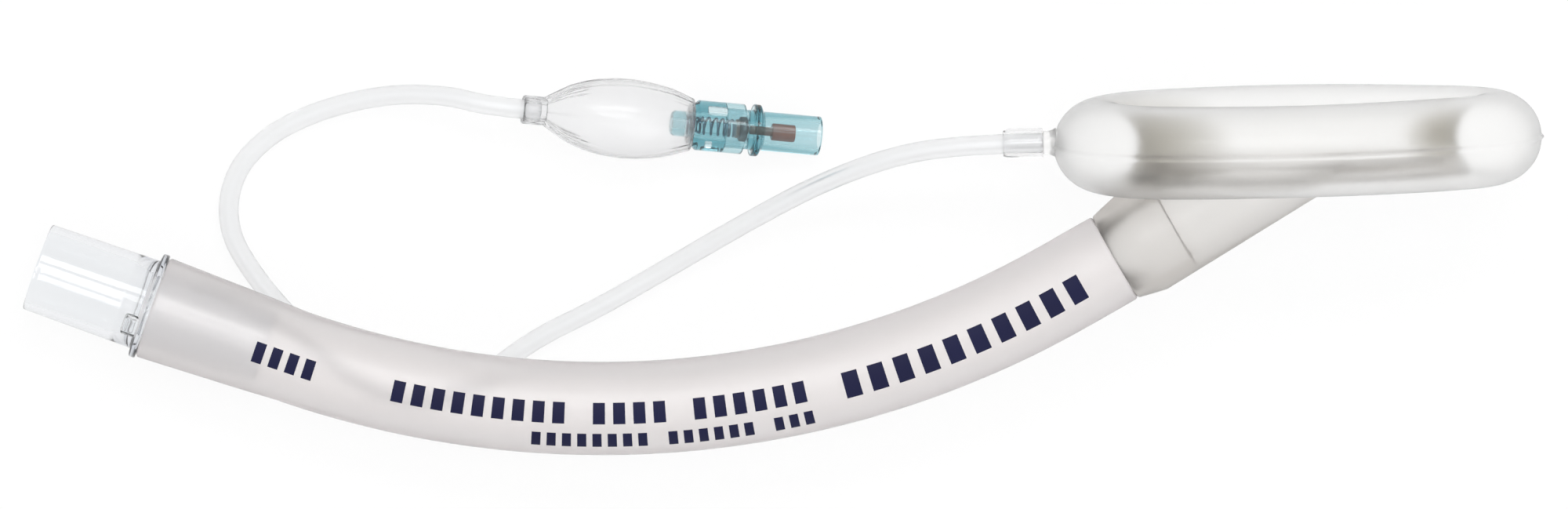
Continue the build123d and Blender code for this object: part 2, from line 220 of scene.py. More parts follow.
def densified(outline: Points, step: float) -> Points:
    """Add points along the sides of a closed outline.

    Each side is cut into equal parts, as few as keep a part no longer than the step.

    Args:
        outline: (radius, station) points in order.
        step: longest way from one point to the next.

    Returns:
        Array of (radius, station) points.
    """
    ahead = np.roll(outline, -1, 0)
    counts = np.maximum(1, np.ceil(np.linalg.norm(ahead - outline, axis=1) / step).astype(int))
    side = np.repeat(np.arange(len(outline)), counts)
    place = np.arange(len(side)) - np.repeat(np.cumsum(counts) - counts, counts)
    part = (place / counts[side])[:, None]
    return outline[side] * (1 - part) + ahead[side] * part


def through(points: Profile, steps: int = 10) -> Points:
    """Smooth open curve through points.

    Each span is the cubic that starts and ends at its two points and whose slope at each is
    half the difference between the neighbours on either side.

    Args:
        points: (radius, station) points in order.
        steps: points along each span.

    Returns:
        Array of (radius, station) points.
    """
    knots = np.array(points, float)
    padded = np.vstack([2 * knots[0] - knots[1], knots, 2 * knots[-1] - knots[-2]])
    slope = (padded[2:] - padded[:-2]) / 2
    t = np.linspace(0.0, 1.0, steps + 1)[:-1][None, :, None]
    a, b, u, v = (k[:, None] for k in (knots[:-1], knots[1:], slope[:-1], slope[1:]))
    curve = (2 * t**3 - 3 * t**2 + 1) * a + (t**3 - 2 * t**2 + t) * u
    curve = curve + (-2 * t**3 + 3 * t**2) * b + (t**3 - t**2) * v
    return np.vstack([curve.reshape(-1, 2), knots[-1]])


# Paths


class Path(Protocol):
    """Line that a profile is carried along."""

    def rings(self, stations: Points) -> tuple[Points, Points, Points]:
        """Places and cross axes along the line.

        Args:
            stations: ways along the line, in millimetres.

        Returns:
            Centres in metres, and two unit vectors square to the line, one row a station.
        """


@dataclass(frozen=True)
class StraightPath:
    """Path along a frame's Z axis."""

    frame: Frame

    def rings(self, stations: Points) -> tuple[Points, Points, Points]:
        """Centres on the Z axis, with the frame's X and Y as cross axes.

        Args:
            stations: heights along the axis, in millimetres.

        Returns:
            Centres in metres and two unit vectors, one row a station.
        """
        centres = self.frame.origin + MM * stations[:, None] * self.frame.z
        ones = np.ones((len(stations), 1))
        return centres, ones * self.frame.x, ones * self.frame.y


@dataclass(frozen=True)
class TubePath:
    """Middle line of the airway tube: straight, one arc, straight.

    On the arc the heading grows by the way gone over the radius, and the point is the arc's
    centre plus the radius times the vector a quarter turn behind the heading.
    """

    first_heading: float = FLARE_HEADING
    last_heading: float = MASK_HEADING
    arc_start: float = 25.0
    radius: float = 155.9
    centre: tuple[float, float] = (75.848336, 138.480468)

    def arc_length(self) -> float:
        """Length of the arc in millimetres."""
        return float(np.radians(self.last_heading - self.first_heading) * self.radius)

    def plan(self, stations: Points) -> tuple[Points, Points]:
        """Middle line in the side view.

        Args:
            stations: ways along the tube from the connector's flange, in millimetres.

        Returns:
            Points in millimetres and headings in radians, one row a station.
        """
        first, last = np.radians(self.first_heading), np.radians(self.last_heading)
        heading = np.clip(first + (stations - self.arc_start) / self.radius, first, last)
        x = self.centre[0] + self.radius * np.sin(heading)
        y = self.centre[1] - self.radius * np.cos(heading)
        before = np.minimum(stations - self.arc_start, 0.0)
        after = np.maximum(stations - self.arc_start - self.arc_length(), 0.0)
        x = x + before * np.cos(first) + after * np.cos(last)
        y = y + before * np.sin(first) + after * np.sin(last)
        return np.stack([x, y, 0.0 * x], axis=1), heading

    def rings(self, stations: Points) -> tuple[Points, Points, Points]:
        """Centres, with cross axes towards the inner bend and out of the view.

        Args:
            stations: ways along the tube, in millimetres.

        Returns:
            Centres in metres and two unit vectors, one row a station.
        """
        points, heading = self.plan(stations)
        zero = 0.0 * heading
        across = np.stack([-np.sin(heading), np.cos(heading), zero], axis=1)
        upward = np.stack([zero, zero, zero + 1.0], axis=1)
        return SIDE.place(points), SIDE.direction(across), SIDE.direction(upward)


@dataclass(frozen=True)
class PointPath:
    """Path through close points in metres; stations are millimetres along it."""

    points: Points

    def lengths(self) -> Points:
        """Way along the path at each of its points, in millimetres."""
        runs = np.linalg.norm(np.diff(self.points, axis=0), axis=1) / MM
        return np.concatenate([[0.0], np.cumsum(runs)])

    def rings(self, stations: Points) -> tuple[Points, Points, Points]:
        """Centres between the points, with one cross axis level and one square to it.

        Args:
            stations: ways along the path, in millimetres.

        Returns:
            Centres in metres and two unit vectors, one row a station.
        """
        way = self.lengths()
        centres = np.stack([np.interp(stations, way, self.points[:, k]) for k in range(3)], 1)
        slopes = np.gradient(self.points, way, axis=0)
        along = unit(np.stack([np.interp(stations, way, slopes[:, k]) for k in range(3)], 1))
        level = unit(np.cross(along, np.array(Z_AXIS)))
        return centres, level, np.cross(level, along)


# Meshes


@dataclass(frozen=True)
class Shell:
    """Grid of points that closes round its columns, and its rows if closed is set.

    A cavity is a shell whose faces point into the hollow.
    """

    grid: Points
    closed: bool = True
    cavity: bool = False

    def faces(self) -> Points:
        """Four corners of each face, turned so that they point out of the material.

        The sign of the volume, a sixth of the sum of triple products, tells which way
        they point.

        Returns:
            Numbers of the grid's points, four to a row.
        """
        rows, columns = self.grid.shape[:2]
        row = np.arange(rows if self.closed else rows - 1)[:, None]
        column = np.arange(columns)[None, :]
        next_row, next_column = (row + 1) % rows, (column + 1) % columns
        corners = [row * columns + column, row * columns + next_column,
                   next_row * columns + next_column, next_row * columns + column]
        faces = np.stack(np.broadcast_arrays(*corners), axis=-1).reshape(-1, 4)
        a, b, c, d = (self.grid.reshape(-1, 3)[faces[:, k]] for k in range(4))
        volume = np.sum(a * (np.cross(b, c) + np.cross(c, d)))
        return faces[:, ::-1] if (volume < 0) != self.cavity else faces


def linked(name: str, data: bpy.types.ID) -> bpy.types.Object:
    """Link a new object to the scene.

    Args:
        name: the object's name.
        data: the mesh, curve, camera or lamp that it shows.

    Returns:
        The object.
    """
    made = bpy.data.objects.new(name, data)
    bpy.context.scene.collection.objects.link(made)
    return made


def standing(right: Points, up: Points, back: Points, place: Points) -> Matrix:
    """Matrix that stands a camera or lamp in its place.

    Args:
        right: its X axis.
        up: its Y axis.
        back: its Z axis, away from where it looks or shines.
        place: its middle, in metres.

    Returns:
        The matrix, with the axes and the place as its columns.
    """
    matrix = np.eye(4)
    matrix[:3] = np.stack([right, up, back, place], axis=1)
    return Matrix(matrix.tolist())


def make_piece(name: str, shells: list[Shell]) -> bpy.types.Object:
    """Put shells into one mesh object at the origin, merging doubled points.

    Args:
        name: the piece's name.
        shells: closed surfaces in metres of the row frame.

    Returns:
        The object, linked to the scene and smooth.
    """
    counts = np.cumsum([0] + [shell.grid.shape[0] * shell.grid.shape[1] for shell in shells])
    vertices = np.concatenate([shell.grid.reshape(-1, 3) for shell in shells])
    faces = np.concatenate([shell.faces() + start for shell, start in zip(shells, counts)])
    mesh = bpy.data.meshes.new(name)
    mesh.vertices.add(len(vertices))
    mesh.vertices.foreach_set("co", vertices.astype(np.float32).ravel())
    mesh.loops.add(faces.size)
    mesh.loops.foreach_set("vertex_index", faces.astype(np.int32).ravel())
    mesh.polygons.add(len(faces))
    mesh.polygons.foreach_set("loop_start", np.arange(0, faces.size, 4, dtype=np.int32))
    mesh.update(calc_edges=True)
    merged = bmesh.new()
    merged.from_mesh(mesh)
    bmesh.ops.remove_doubles(merged, verts=merged.verts, dist=MERGE_DISTANCE)
    bmesh.ops.dissolve_degenerate(merged, edges=merged.edges, dist=SLIVER_LENGTH)
    merged.to_mesh(mesh)
    merged.free()
    mesh.polygons.foreach_set("use_smooth", np.ones(len(mesh.polygons), bool))
    mesh.update()
    return linked(name, mesh)


def carried(
    outline: Points, path: Path, columns: int = 96,
    ripple: Callable[[Points, Points], Points] | None = None, closed: bool = True,
) -> Shell:
    """Carry an outline round a path.

    A point is the path's centre at its station plus its radius, and its ripple, times the
    cosine of the angle along one cross axis and the sine along the other.

    Args:
        outline: (radius, station) points of the profile, in millimetres.
        path: line that the stations run along.
        columns: points round the path.
        ripple: function of stations and angles that gives what is added to the radius.
        closed: whether the profile comes back to its start; one that is open starts and
            ends on the path.

    Returns:
        The shell.
    """
    centres, first, second = path.rings(outline[:, 1])
    angle = np.linspace(0.0, 2 * np.pi, columns, endpoint=False)
    radius = np.broadcast_to(outline[:, :1], (len(outline), columns))
    if ripple is not None:
        radius = radius + ripple(outline[:, 1:], angle[None, :])
    radius = MM * np.maximum(radius, 0.0)[..., None]
    cosine, sine = np.cos(angle)[None, :, None], np.sin(angle)[None, :, None]
    turn = cosine * first[:, None] + sine * second[:, None]
    return Shell(centres[:, None] + radius * turn, closed=closed)


def block(frame: Frame, size: Point, squareness: float = 0.35,
          rows: int = 25, columns: int = 48) -> Shell:
    """Soft-cornered block about a frame's origin.

    A sphere's three coordinates are each raised to the squareness, sign kept, so a low power
    pushes them out to the block's faces.

    Args:
        frame: the block's middle and its axes.
        size: its sizes along them, in millimetres.
        squareness: the power.
        rows: points from the bottom to the top.
        columns: points round it.

    Returns:
        The shell.
    """
    rise = np.linspace(-np.pi / 2, np.pi / 2, rows)[:, None]
    turn = np.linspace(0.0, 2 * np.pi, columns, endpoint=False)[None, :]

    def power(value: Points) -> Points:
        """Value to the squareness, with its sign."""
        return np.sign(value) * np.abs(value) ** squareness

    flat = power(np.cos(rise))
    shape = np.stack(np.broadcast_arrays(
        flat * power(np.cos(turn)), flat * power(np.sin(turn)), power(np.sin(rise))), -1)
    return Shell(frame.place(shape * np.array(size) / 2), closed=False)


# Finishes


def node_of(tree: bpy.types.NodeTree, kind: str) -> bpy.types.Node:
    """First node of a kind in a material's or the world's nodes."""
    return next(node for node in tree.nodes if node.type == kind)


@dataclass(frozen=True)
class PaintedShadeSpot:
    """Place of the mask towards which the colour is darkened, as painted shade.

    The point is in millimetres of the ring's frame, and the reach in metres.
    """

    point: Point
    reach: float


@dataclass(frozen=True)
class Finish:
    """Moulded plastic, rubber or steel: colour, gloss, clearness and fine surface.

    The colour drifts with a broad noise, the roughness with a second one, and a fine bump
    breaks up the reflections.  A clear finish takes light away with depth, so that it is
    deeper where the wall is seen edge on.  Spots of painted shade may darken the colour.
    """

    name: str
    colour: Colour
    deeper: Colour
    roughness: float = 0.3
    roughness_spread: tuple[float, float] = (0.92, 1.08)
    clearness: float = 0.0
    metal: float = 0.0
    ior: float = 1.47
    drift_scale: float = 60.0
    drift_detail: float = 3.0
    patch_scale: float = 4.0
    fine_detail: float = 2.0
    bump_scale: float = 500.0
    bump_height: float = 0.00002
    bump_strength: float = 0.25
    absorbed: Colour | None = None
    density: float = 0.0
    # painted shade: places where the colour is darkened towards the dark grey-brown below
    deepened: tuple[PaintedShadeSpot, ...] = ()
    painted_shade_colour: Colour = (0.48, 0.455, 0.395)

    def material(self) -> bpy.types.Material:
        """Make the finish as a node material, once.

        Returns:
            The material.
        """
        found = bpy.data.materials.get(self.name)
        if found is not None:
            return found
        made = bpy.data.materials.new(self.name)
        made.use_nodes = True
        tree = made.node_tree
        shader = node_of(tree, "BSDF_PRINCIPLED")
        shader.inputs["Transmission Weight"].default_value = self.clearness
        shader.inputs["Metallic"].default_value = self.metal
        shader.inputs["IOR"].default_value = self.ior
        if self.absorbed is not None:
            depth = tree.nodes.new("ShaderNodeVolumeAbsorption")
            depth.inputs["Color"].default_value = (*self.absorbed, 1.0)
            depth.inputs["Density"].default_value = self.density
            output = node_of(tree, "OUTPUT_MATERIAL")
            tree.links.new(depth.outputs["Volume"], output.inputs["Volume"])
        place = tree.nodes.new("ShaderNodeTexCoord")
        tree.links.new(self._tinted(tree, place), shader.inputs["Base Color"])
        patchy = self._noise(tree, place, self.drift_scale * self.patch_scale, self.fine_detail)
        low, high = self.roughness_spread
        gloss = tree.nodes.new("ShaderNodeMapRange")
        gloss.inputs["To Min"].default_value = self.roughness * low
        gloss.inputs["To Max"].default_value = self.roughness * high
        tree.links.new(patchy.outputs["Fac"], gloss.inputs["Value"])
        tree.links.new(gloss.outputs["Result"], shader.inputs["Roughness"])
        fine = self._noise(tree, place, self.bump_scale, self.fine_detail)
        bump = tree.nodes.new("ShaderNodeBump")
        bump.inputs["Strength"].default_value = self.bump_strength
        bump.inputs["Distance"].default_value = self.bump_height
        tree.links.new(fine.outputs["Fac"], bump.inputs["Height"])
        tree.links.new(bump.outputs["Normal"], shader.inputs["Normal"])
        return made

    def _tinted(self, tree: bpy.types.NodeTree, place: bpy.types.Node) -> bpy.types.NodeSocket:
        """Colour that drifts between the finish's two tints, with painted shade at its spots.

        Args:
            tree: the material's nodes.
            place: the texture coordinates.

        Returns:
            The socket with the colour.
        """
        broad = self._noise(tree, place, self.drift_scale, self.drift_detail)
        tint = tree.nodes.new("ShaderNodeMix")
        tint.data_type = "RGBA"
        tint.inputs["A"].default_value = (*self.colour, 1.0)
        tint.inputs["B"].default_value = (*self.deeper, 1.0)
        tree.links.new(broad.outputs["Fac"], tint.inputs["Factor"])
        colour = tint.outputs["Result"]
        # painted shade: darken the colour towards each spot
        for spot in self.deepened:
            colour = self._paint_shade(tree, place, colour, spot)
        return colour

    def _paint_shade(self, tree: bpy.types.NodeTree, place: bpy.types.Node,
                colour: bpy.types.NodeSocket, spot: PaintedShadeSpot) -> bpy.types.NodeSocket:
        """Darken a colour towards a point, as painted shade.

        The share is one at the point and falls evenly to zero at the reach.

        Args:
            tree: the material's nodes.
            place: the texture coordinates.
            colour: socket with the colour so far.
            spot: where the painted shade lies.

        Returns:
            The socket with the new colour.
        """
        point = Ring().frame.place(np.array(spot.point))
        centred = tree.nodes.new("ShaderNodeMapping")
        centred.inputs["Location"].default_value = tuple(-point / spot.reach)
        centred.inputs["Scale"].default_value = (1.0 / spot.reach,) * 3
        ball = tree.nodes.new("ShaderNodeTexGradient")
        ball.gradient_type = "SPHERICAL"
        mix = tree.nodes.new("ShaderNodeMix")
        mix.data_type = "RGBA"
        # colour of the painted shade, full at the spot's middle
        mix.inputs["B"].default_value = (*self.painted_shade_colour, 1.0)
        tree.links.new(place.outputs["Object"], centred.inputs["Vector"])
        tree.links.new(centred.outputs["Vector"], ball.inputs["Vector"])
        tree.links.new(ball.outputs["Fac"], mix.inputs["Factor"])
        tree.links.new(colour, mix.inputs["A"])
        return mix.outputs["Result"]

    @staticmethod
    def _noise(tree: bpy.types.NodeTree, place: bpy.types.Node, scale: float,
               detail: float) -> bpy.types.Node:
        """Noise node on object coordinates.

        Args:
            tree: the material's nodes.
            place: the texture coordinates.
            scale: how fine the noise is.
            detail: how many finer layers it has.

        Returns:
            The noise node.
        """
        noise = tree.nodes.new("ShaderNodeTexNoise")
        noise.inputs["Scale"].default_value = scale
        noise.inputs["Detail"].default_value = detail
        tree.links.new(place.outputs["Object"], noise.inputs["Vector"])
        return noise


CLEAR_MOULDING = Finish("clear_rigid_moulding", (0.985, 0.988, 0.99), (0.96, 0.97, 0.975),
                        roughness=0.04, clearness=1.0, ior=1.38, bump_scale=90.0,
                        bump_strength=0.02, absorbed=(0.54, 0.57, 0.64), density=60.0)
TUBE_PVC = Finish("frosted_tube_pvc", (0.985, 0.973, 0.969), (0.965, 0.95, 0.945),
                  roughness=0.34, clearness=0.96, ior=1.35, drift_scale=45.0,
                  absorbed=(0.56, 0.48, 0.49), density=36.0)
MASK_PVC = Finish("frosted_mask_pvc", (0.992, 0.989, 0.984), (0.975, 0.971, 0.964),
                  roughness=0.32, clearness=0.97, ior=1.26, drift_scale=70.0,
                  absorbed=(0.56, 0.52, 0.48), density=80.0)
# The cuff's film has two spots of painted shade: its colour darkens towards the heel's and the
# tip's inner bends.
CUFF_FILM = Finish("blown_cuff_film", (1.0, 0.999, 0.996), (0.992, 0.99, 0.985),
                   roughness=0.3, clearness=0.99, ior=1.2, drift_scale=50.0,
                   bump_strength=0.02, absorbed=(0.52, 0.50, 0.46), density=3.5,
                   deepened=(PaintedShadeSpot((10.5, 0.0, 0.0), 0.0145),
                             PaintedShadeSpot((56.5, 0.0, 1.0), 0.0078)))
LINE_PVC = Finish("clear_line_pvc", (0.99, 0.992, 0.995), (0.97, 0.975, 0.98),
                  roughness=0.32, clearness=0.94, ior=1.33, bump_strength=0.1,
                  absorbed=(0.5, 0.52, 0.55), density=25.0)
SLEEVE_PVC = Finish("clear_sleeve_pvc", (0.985, 0.985, 0.985), (0.96, 0.965, 0.97),
                    roughness=0.12, clearness=0.95, ior=1.36, bump_strength=0.02)
BALLOON_FILM = Finish("clear_blown_film", (0.995, 0.995, 0.997), (0.985, 0.985, 0.988),
                      roughness=0.18, clearness=0.95, ior=1.25, drift_scale=120.0,
                      bump_strength=0.04, absorbed=(0.5, 0.51, 0.53), density=160.0)
VALVE_TEAL = Finish("clear_teal_moulding", (0.95, 0.98, 0.99), (0.92, 0.96, 0.97),
                    roughness=0.03, clearness=0.98, ior=1.33, drift_scale=150.0,
                    bump_strength=0.04, absorbed=(0.22, 0.62, 0.68), density=330.0)
STEM_PLASTIC = Finish("brown_stem_plastic", (0.34, 0.16, 0.12), (0.25, 0.11, 0.08),
                      roughness=0.2)
HEAD_BROWN = Finish("brown_stem_head", (0.40, 0.12, 0.08), (0.31, 0.085, 0.055), roughness=0.22)
SEAL_RUBBER = Finish("dark_seal_rubber", (0.10, 0.085, 0.09), (0.06, 0.05, 0.055), roughness=0.5)
SPRING_STEEL = Finish("drawn_spring_steel", (0.26, 0.26, 0.30), (0.17, 0.17, 0.21),
                      roughness=0.15, metal=1.0, bump_scale=3000.0)
PRINT_NAVY = Finish("navy_printing_ink", (0.010, 0.010, 0.035), (0.014, 0.016, 0.055),
                    roughness=0.5, ior=1.2, bump_scale=2500.0)


def dress(piece: bpy.types.Object, finish: Finish, body: Body, slot: str, *nodes: str) -> None:
    """Dress a piece, hide the CAD nodes that it replaces, hang it on its body and log it.

    Args:
        piece: the finished mesh object.
        finish: what it is made of.
        body: the body that it rides on.
        slot: the material slot of the CAD model meant for it; not used.
        nodes: the CAD nodes that it replaces, if any.
    """
    piece.data.materials.append(finish.material())
    if nodes:
        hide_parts(*nodes)
    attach(piece, body.value)
    log.info("%s: %d faces, %s", piece.name, len(piece.data.polygons), finish.name)


# Sub-assemblies


@dataclass
class Connector:
    """Rigid clear 15 mm cone with its flange, lug and spigot."""

    cone_length: float = 19.2
    cone_tip_od: float = 15.0
    cone_taper: float = 1 / 40
    cone_bore: float = 12.6
    cone_bore_depth: float = 15.5
    flange_od: float = 18.2
    flange_thickness: float = 1.2
    spigot_length: float = 20.0
    spigot_root_od: float = 12.9
    spigot_tip_od: float = 11.4
    spigot_root_bore: float = 10.2
    spigot_tip_bore: float = 9.0
    edge: float = 0.4
    point_step: float = 2.0
    columns: int = 128
    lug_turn: float = 22.0
    lug_size: Point = (2.1, 3.4, 2.5)
    lug_inset: float = 1.25
    lug_ahead: float = 1.2
    frame: Frame = field(default_factory=lambda: facing((0.0, 0.0, 0.0), FLARE_HEADING))

    def body(self) -> Shell:
        """Cone, flange and spigot, turned about the connector's axis.

        Returns:
            The shell.
        """
        half = self.flange_thickness / 2
        start, end = -half - self.cone_length, half + self.spigot_length
        root_r = (self.cone_tip_od + self.cone_length * self.cone_taper) / 2
        outline = [
            (self.cone_bore / 2, start), (self.cone_tip_od / 2, start), (root_r, -half),
            (self.flange_od / 2, -half), (self.flange_od / 2, half),
            (self.spigot_root_od / 2, half), (self.spigot_tip_od / 2, end),
            (self.spigot_tip_bore / 2, end), (self.spigot_root_bore / 2, half),
            (self.cone_bore / 2, start + self.cone_bore_depth),
        ]
        wall = densified(softened(outline, self.edge), self.point_step)
        return carried(wall, StraightPath(self.frame), self.columns)

    def lug(self) -> Shell:
        """Grip block in front of the flange.

        Returns:
            The shell.
        """
        out = heading_vector(self.lug_turn)
        reach = self.flange_od / 2 - self.lug_inset
        height = -self.flange_thickness / 2 - self.lug_ahead
        middle = (out[0] * reach, out[1] * reach, height)
        return block(self.frame.at(middle, Z_AXIS, out), self.lug_size)

    def build(self) -> None:
        """Make the connector's piece."""
        piece = make_piece("connector_moulding", [self.body(), self.lug()])
        dress(piece, CLEAR_MOULDING, Body.AIRWAY, "clear_connector", "connector_15mm")


@dataclass
class AirwayTube:
    """Soft curved tube, flared over the spigot and bonded into the mask's socket.

    The bond leaves no face between the two, so the stepped end that the CAD tube has inside
    the socket belongs to the backplate's piece here.
    """

    mouth: float = 0.65
    flare_od: float = 17.5
    flare_length: float = 25.0
    tube_bore: float = 10.8
    spigot_root_r: float = 6.5
    spigot_tip_r: float = 5.75
    spigot_end: float = 20.65
    swell: float = 0.28
    swell_back: float = 1.5
    tail_length: float = 9.45
    edge: float = 0.55
    point_step: float = 1.6
    columns: int = 112
    path: TubePath = field(default_factory=TubePath)

    def outline(self) -> Points:
        """Wall of the tube, which still swells a little over the spigot's end.

        Returns:
            Closed profile of (radius, station) points.
        """
        shoulder = self.path.arc_start + self.path.arc_length() + self.tail_length
        wall = [
            (self.spigot_root_r, self.mouth), (self.flare_od / 2, self.mouth),
            (TUBE_R + self.swell, self.spigot_end - self.swell_back),
            (TUBE_R, self.flare_length), (TUBE_R, shoulder),
            (self.tube_bore / 2, shoulder), (self.tube_bore / 2, self.flare_length),
            (self.spigot_tip_r, self.spigot_end),
        ]
        return densified(softened(wall, self.edge), self.point_step)

    def build(self) -> None:
        """Make the tube's piece."""
        shell = carried(self.outline(), self.path, self.columns)
        piece = make_piece("airway_tube_wall", [shell])
        dress(piece, TUBE_PVC, Body.AIRWAY, "soft_tube", "airway_tube")


@dataclass(frozen=True)
class PrintRow:
    """Row of plain bars along the tube.

    It has a start and an end along the tube, a height across it, and so many bars in each of
    its groups.  The offset is how far its middle lies towards the inner bend, seen from the
    camera.
    """

    start: float
    end: float
    offset: float
    height: float
    groups: tuple[int, ...]


@dataclass
class TubePrint:
    """Printing on the tube's upward side, as rows of plain bars.

    The shrink is each ring's size in a bar, out over its lower face and back over its upper
    one.  The flare is how much wider than the plain tube its end is, at stations along it.
    """

    thickness: float = 0.02
    clearance: float = 0.01
    bar_span: tuple[float, float] = (0.2, 0.8)
    edge_points: int = 64
    corner_push: float = 1.42
    furthest_side: float = 0.95
    shrink: tuple[float, ...] = (
        0.0, 0.25, 0.5, 0.75, 0.96, 1.0, 1.0, 0.96, 0.75, 0.5, 0.25, 0.0)
    flare_stations: tuple[float, ...] = (0.65, 19.15, 25.0)
    flare_heights: tuple[float, ...] = (0.9, 0.28, 0.0)
    path: TubePath = field(default_factory=TubePath)
    rows: tuple[PrintRow, ...] = (
        PrintRow(18.6, 30.2, -1.1, 3.4, (4,)),
        PrintRow(42.5, 113.6, -0.7, 3.6, (9, 4, 6)),
        PrintRow(66.5, 113.8, -5.2, 2.2, (8, 6, 3)),
        PrintRow(118.5, 163.5, -1.4, 4.4, (10,)),
    )

    def bars(self, row: PrintRow) -> tuple[Points, Points]:
        """Equal bars in a row, with a bar's room left free between two groups.

        Args:
            row: the row.

        Returns:
            Start and end station of each bar.
        """
        groups = np.array(row.groups)
        gaps = np.repeat(np.arange(len(groups)), groups)
        slots = np.arange(groups.sum()) + gaps
        pitch = (row.end - row.start) / (groups.sum() + len(groups) - 1)
        starts = row.start + slots * pitch
        return starts + self.bar_span[0] * pitch, starts + self.bar_span[1] * pitch

    def bar(self, row: PrintRow, start: float, end: float) -> Shell:
        """Bar as a thin slab wrapped on the tube.

        A ring of points round its edge, a circle pushed out to a rectangle, grows over the
        lower face, rises to the upper one and shrinks again to a point.

        Args:
            row: the bar's row.
            start: where the bar starts along the tube.
            end: where it ends.

        Returns:
            The shell.
        """
        angle = np.linspace(0.0, 2 * np.pi, self.edge_points, endpoint=False)
        flat = np.clip(self.corner_push * np.cos(angle), -1.0, 1.0)
        tall = np.clip(self.corner_push * np.sin(angle), -1.0, 1.0)
        shrink = np.array(self.shrink)[:, None]
        station = (start + end) / 2 + shrink * flat * (end - start) / 2
        side = row.offset + shrink * tall * row.height / 2
        lift = np.repeat([0.0, 1.0], len(shrink) // 2)[:, None] * self.thickness
        flare = np.interp(station, self.flare_stations, self.flare_heights)
        radius = TUBE_R + flare + self.clearance + lift
        slope = np.clip(side / TUBE_R, -self.furthest_side, self.furthest_side)
        turn = np.pi / 2 - np.arcsin(slope) - np.radians(VIEW_LEAN)
        centres, across, upward = (
            part.reshape(*station.shape, 3) for part in self.path.rings(station.ravel()))
        out = np.cos(turn)[..., None] * across + np.sin(turn)[..., None] * upward
        return Shell(centres + MM * radius[..., None] * out, closed=False)

    def build(self) -> None:
        """Make one piece of all the bars."""
        shells = [self.bar(row, start, end)
                  for row in self.rows for start, end in zip(*self.bars(row))]
        piece = make_piece("tube_print_bars", shells)
        dress(piece, PRINT_NAVY, Body.AIRWAY, "soft_tube")


@dataclass(frozen=True)
class Ring:
    """Middle line of the cuff: four tangent arcs, in the frame whose Z is the mask's face."""

    heel_radius: float = 13.5
    tip_radius: float = 9.5
    side_radius: float = 79.7832
    side_centre: tuple[float, float] = (28.8421, 64.4832)
    tip_centre: float = 56.8
    heel_turn: float = 103.3832
    tip_turn: float = 66.5599
    section_r: float = 7.7
    fine_count: int = 1440
    frame: Frame = field(default_factory=lambda: SIDE.at(HEEL, RING_Z, RING_X))

    def plan(self, count: int, grow: float = 0.0) -> tuple[Points, Points]:
        """Middle line, or one beside it.

        Each arc's points are its centre plus its grown radius times the unit vector at an
        angle, and the angles of all four arcs follow each other evenly by length.

        Args:
            count: points round the ring.
            grow: how far outside the middle line the points lie.

        Returns:
            Points in millimetres and outward unit vectors, one row a point.
        """
        x, y = self.side_centre
        centres = np.array([(self.heel_radius, 0), (x, y), (self.tip_centre, 0), (x, -y)])
        radii = np.array([self.heel_radius, self.side_radius, self.tip_radius, self.side_radius])
        heel, tip = self.heel_turn, self.tip_turn
        first = np.radians([heel, -heel, -tip, tip])
        turn = np.radians([360 - 2 * heel, heel - tip, 2 * tip, heel - tip])
        ends = np.cumsum(radii * turn)
        way = np.linspace(0.0, ends[-1], count, endpoint=False)
        arc = np.searchsorted(ends, way, side="right")
        angle = first[arc] + (way - (ends - radii * turn)[arc]) / radii[arc]
        normal = np.stack([np.cos(angle), np.sin(angle)], axis=1)
        return centres[arc] + (radii[arc] + grow)[:, None] * normal, normal

    def reach(self, turn: Points, inset: Points, about: float) -> Points:
        """Distance from a point on the ring's axis to the line moved inwards by inset.

        Args:
            turn: direction round that point, in radians.
            inset: how far inside the middle line, one value for each row.
            about: the point's place along the ring.

        Returns:
            Distances, rows by columns.
        """
        rows = []
        for each in inset:
            points, _ = self.plan(self.fine_count, -float(each))
            points = points - np.array([about, 0.0])
            angle, distance = np.arctan2(points[:, 1], points[:, 0]), np.hypot(*points.T)
            order = np.argsort(angle)
            rows.append(np.interp(turn, angle[order], distance[order], period=2 * np.pi))
        return np.stack(rows)


